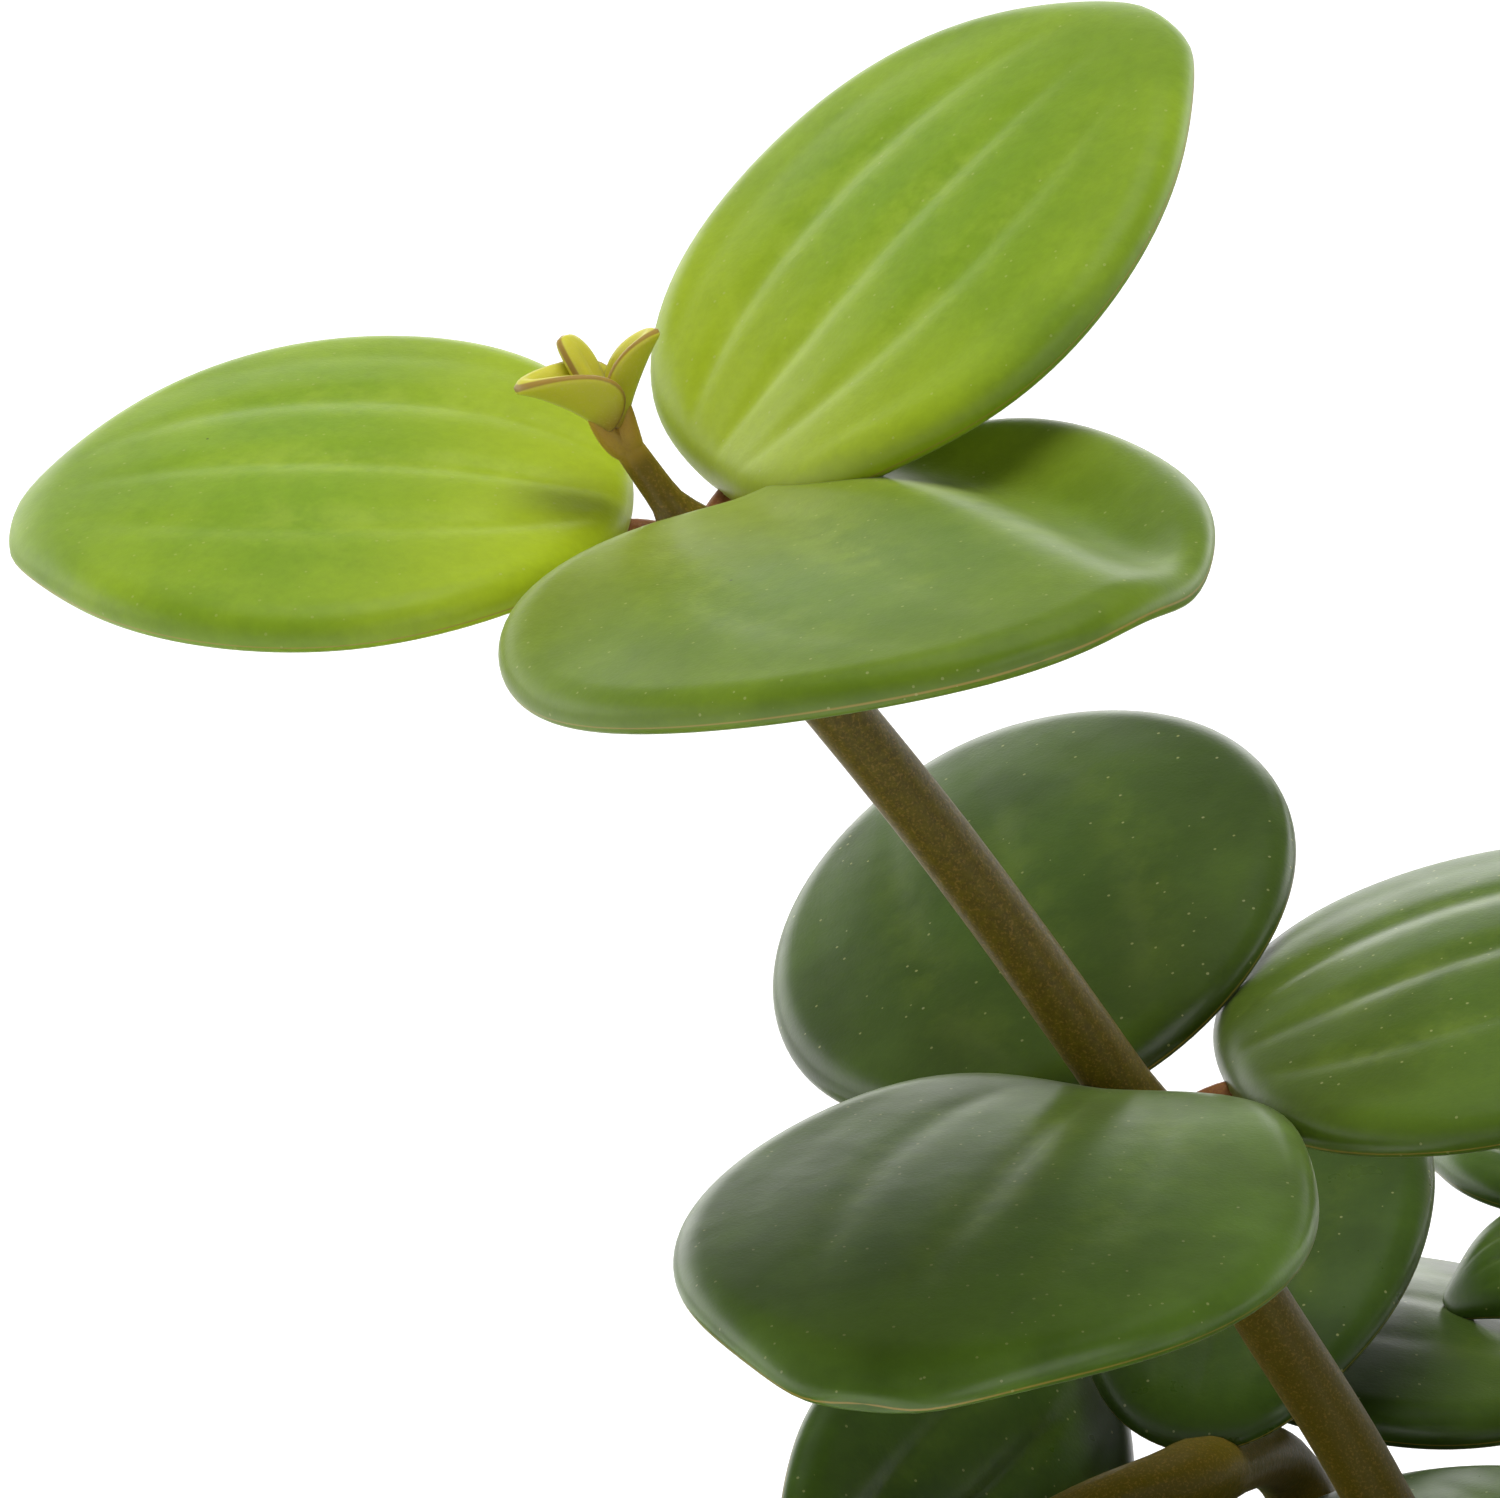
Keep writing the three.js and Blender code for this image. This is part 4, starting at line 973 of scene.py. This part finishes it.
# A profile with rounded corners. Each corner is a radius, a height and its rounding.
def rounded_profile(corners):
    points = []
    for k, (radius, z, rounding) in enumerate(corners):
        corner = np.array([radius, z])
        if not rounding:
            points.append(corner)
            continue
        before = np.array(corners[k - 1][:2]) - corner
        after = np.array(corners[k + 1][:2]) - corner
        start = corner + rounding * unit(before)
        end = corner + rounding * unit(after)
        for t in np.linspace(0, 1, ROUNDING_POINTS):
            points.append((1 - t) ** 2 * start + 2 * t * (1 - t) * corner + t**2 * end)
    return np.array(points)


# A closed body turned round the pot's axis. The profile starts and ends on the axis.
def turned_part(profile, sides):
    angle = 2 * math.pi * np.arange(sides) / sides
    rim = profile[1:-1]
    rings = np.stack([rim[:, :1] * np.cos(angle), rim[:, :1] * np.sin(angle),
                      np.repeat(rim[:, 1:], sides, axis=1)], -1).reshape(-1, 3)
    points = np.concatenate([rings, [[0, 0, profile[0][1]], [0, 0, profile[-1][1]]]])
    quads, ends = ring_faces(len(rim), sides)
    return dict(points=points, quads=quads, triangles=ends)


def pot_inner_radius(z):
    neck = POT_HEIGHT - COLLAR_HEIGHT
    return POT_BASE_RADIUS + (POT_NECK_RADIUS - POT_BASE_RADIUS) * z / neck - POT_WALL


def make_pot(material):
    collar_foot = POT_HEIGHT - COLLAR_HEIGHT
    profile = rounded_profile([
        (0, 0, 0),
        (POT_BASE_RADIUS, 0, BASE_ROUNDING),
        (POT_NECK_RADIUS, collar_foot - COLLAR_LEDGE, LEDGE_ROUNDING),
        (COLLAR_FOOT_RADIUS, collar_foot, COLLAR_ROUNDING),
        (COLLAR_RADIUS, POT_HEIGHT, RIM_ROUNDING),
        (COLLAR_RADIUS - POT_WALL, POT_HEIGHT, RIM_ROUNDING),
        (pot_inner_radius(SOIL_TOP), SOIL_TOP, LEDGE_ROUNDING),
        (pot_inner_radius(POT_FLOOR), POT_FLOOR, FLOOR_ROUNDING),
        (0, POT_FLOOR, 0),
    ])
    pot = make_piece("clay_pot", [turned_part(profile, POT_SIDES)], (), material, ["pot"])
    reach = DRAIN_HOLE_REACH * MM
    for hole in range(DRAIN_HOLES):
        angle = 2 * math.pi * hole / DRAIN_HOLES + math.pi / 2
        bpy.ops.mesh.primitive_cylinder_add(
            vertices=DRAIN_HOLE_SIDES,
            radius=DRAIN_HOLE_RADIUS * MM,
            depth=3 * POT_FLOOR * MM,
            location=(reach * math.cos(angle), reach * math.sin(angle), POT_FLOOR / 2 * MM),
        )
        cutter = bpy.context.object
        cut = pot.modifiers.new("drain_hole", "BOOLEAN")
        cut.object = cutter
        cut.operation = "DIFFERENCE"
        bpy.context.view_layer.objects.active = pot
        bpy.ops.object.modifier_apply(modifier=cut.name)
        bpy.data.objects.remove(cutter)
    for polygon in pot.data.polygons:
        polygon.use_smooth = True
    pot.data.set_sharp_from_angle(angle=math.radians(POT_SHARP_ANGLE))


# Crumbs and perlite grains. A lift is how far their middles stand above the soil, in radii.
CRUMBS = 900
CRUMB_SIZES = (0.6, 2.0)
CRUMB_LIFT = 0.1
PERLITE_GRAINS = 70
PERLITE_SIZES = (0.5, 1.3)
PERLITE_LIFT = 0.35
LUMP_EDGE = 1.5  # free of lumps along the pot's wall
LUMP_BUMPS = 0.16
LUMP_WAVES = 1.4
LUMP_RIPPLE = 2.2
LUMP_STRETCH = (0.7, 1.25)
SOIL_SIDES = 96
SOIL_RINGS = 40
SOIL_RELIEF = 0.7
SOIL_FLAT_EDGE = 0.5
SOIL_SEED = 5


# Irregular lumps spread over the soil
def lump_parts(count, sizes, lift, generator):
    bm = bmesh.new()
    bmesh.ops.create_icosphere(bm, subdivisions=2, radius=1.0)
    points = np.array([v.co[:] for v in bm.verts])
    faces = np.array([[v.index for v in f.verts] for f in bm.faces])
    bm.free()
    edge = pot_inner_radius(SOIL_TOP) - LUMP_EDGE
    parts = []
    for _ in range(count):
        reach = edge * math.sqrt(generator.uniform(0, 1))
        angle = generator.uniform(0, 2 * math.pi)
        size = generator.uniform(*sizes)
        waves = generator.normal(size=(3, 3)) * LUMP_WAVES
        rough = 1 + LUMP_BUMPS * np.sin(points @ waves.T * LUMP_RIPPLE).sum(axis=1)
        stretch = generator.uniform(*LUMP_STRETCH, size=3)
        turned = points * rough[:, None] * stretch
        spin = generator.uniform(0, 2 * math.pi)
        spun = np.stack([turned[:, 0] * math.cos(spin) - turned[:, 1] * math.sin(spin),
                         turned[:, 0] * math.sin(spin) + turned[:, 1] * math.cos(spin), turned[:, 2]], -1)
        middle = (reach * math.cos(angle), reach * math.sin(angle), soil_height(reach) + lift * size)
        parts.append(dict(points=spun * size + middle, quads=np.zeros((0, 4), int), triangles=faces))
    return parts


def soil_height(reach):
    edge = pot_inner_radius(SOIL_TOP)
    return SOIL_TOP + SOIL_DOME * (1 - (reach / edge) ** 2)


def make_soil(material, grain_material):
    bottom = POT_FLOOR + FIT_GAP
    edge = pot_inner_radius(SOIL_TOP) - FIT_GAP
    profile = [(0, bottom), (pot_inner_radius(bottom) - FIT_GAP, bottom)]
    profile += [(reach, soil_height(reach)) for reach in np.linspace(edge, 0, SOIL_RINGS)]
    body = turned_part(np.array(profile), SOIL_SIDES)
    generator = np.random.default_rng(SOIL_SEED)
    top = body["points"][:, 2] > bottom
    inner = np.hypot(body["points"][:, 0], body["points"][:, 1]) < edge - SOIL_FLAT_EDGE
    body["points"][top & inner, 2] += generator.uniform(-SOIL_RELIEF, SOIL_RELIEF, (top & inner).sum())
    crumbs = lump_parts(CRUMBS, CRUMB_SIZES, CRUMB_LIFT, generator)
    make_piece("potting_soil", [body] + crumbs, (), material, ["soil"])
    grains = lump_parts(PERLITE_GRAINS, PERLITE_SIZES, PERLITE_LIFT, generator)
    make_piece("perlite", grains, (), grain_material)


# Stage and lights, in metres and watts. The bright backdrop lies low and is dimmer in front.
BACKDROP_LIGHT = 2.2
HIGH_LIGHT = 0.12
BACKDROP_FADE = (0.24, 0.54)
FRONT_SHARE = 0.2
FRONT_FADE = (-0.7, 0.3)
FLOOR_SIZE = 30
FLOOR_GLOW = 0.5
FLOOR_LEVEL = -0.0002  # just below the pot's flat base
LIGHT_AIM = (-0.03, -0.02, 0.14)
# Name, place, width, power and whether it shows in reflections
LIGHTS = [
    ("top_light", (-0.1, 0.1, 1.35), 1.0, 13, False),
    ("sheen_light", (-0.1, 0.1, 1.35), 0.6, 3, True),
    ("front_light", (0.5, -1.2, 0.9), 0.9, 3, True),
]


def make_floor():
    bpy.ops.mesh.primitive_plane_add(size=FLOOR_SIZE, location=(0, 0, FLOOR_LEVEL))
    floor = bpy.context.object
    floor.name = "floor"
    nodes = new_material("floor_looks")
    glow = dict(Emission_Color=(1, 1, 1, 1), Emission_Strength=FLOOR_GLOW)
    floor.data.materials.append(nodes.finish(Base_Color=(0.85, 0.85, 0.85, 1), Roughness=0.9, **glow))


def add_light(name, place, size, watts, shines):
    light = bpy.data.lights.new(name, "AREA")
    light.shape = "DISK"
    light.size = size
    light.energy = watts
    lamp = bpy.data.objects.new(name, light)
    lamp.location = place
    towards = Vector(LIGHT_AIM) - lamp.location
    lamp.rotation_euler = towards.to_track_quat("-Z", "Y").to_euler()
    lamp.visible_glossy = shines
    bpy.context.scene.collection.objects.link(lamp)


def light_studio():
    world = bpy.data.worlds.new("studio")
    nodes = Nodes(world)
    direction = nodes.add("SeparateXYZ", {0: nodes.add("TexCoord", {})["Generated"]})
    by_height = nodes.span(direction["Z"], *BACKDROP_FADE, BACKDROP_LIGHT, HIGH_LIGHT)
    by_front = nodes.span(direction["Y"], *FRONT_FADE, FRONT_SHARE, 1)
    background = nodes.tree.nodes["Background"]
    nodes.put(background.inputs["Strength"], nodes.math("MULTIPLY", by_height, by_front))
    nodes.put(background.inputs["Color"], (1, 1, 1, 1))
    bpy.context.scene.world = world
    for light in LIGHTS:
        add_light(*light)
    view = bpy.context.scene.view_settings
    view.view_transform = "Standard"
    view.look = "None"
    view.exposure = 0.0
    view.gamma = 1.0


def make_camera():
    elevation = math.radians(CAMERA_ELEVATION)
    forward = np.array([0.0, math.cos(elevation), -math.sin(elevation)])
    up = np.array([0.0, math.sin(elevation), math.cos(elevation)])
    aim = TOP_NODE + (CAMERA_RIGHT, 0, 0) - CAMERA_BELOW * up
    data = bpy.data.cameras.new("photo_camera")
    data.sensor_width = SENSOR_WIDTH
    data.lens = SENSOR_WIDTH * CAMERA_DISTANCE / PHOTO_WIDTH
    data.clip_start, data.clip_end = CAMERA_CLIP
    camera = bpy.data.objects.new("photo_camera", data)
    camera.location = (aim - CAMERA_DISTANCE * forward) * MM
    camera.rotation_euler = (math.pi / 2 - elevation, 0, 0)
    bpy.context.scene.collection.objects.link(camera)
    bpy.context.scene.camera = camera


make_camera()
grow_pieces(grow_plant(), leaf_material(), stem_material())
make_pot(clay_material())
make_soil(soil_material(), perlite_material())
make_floor()
light_studio()
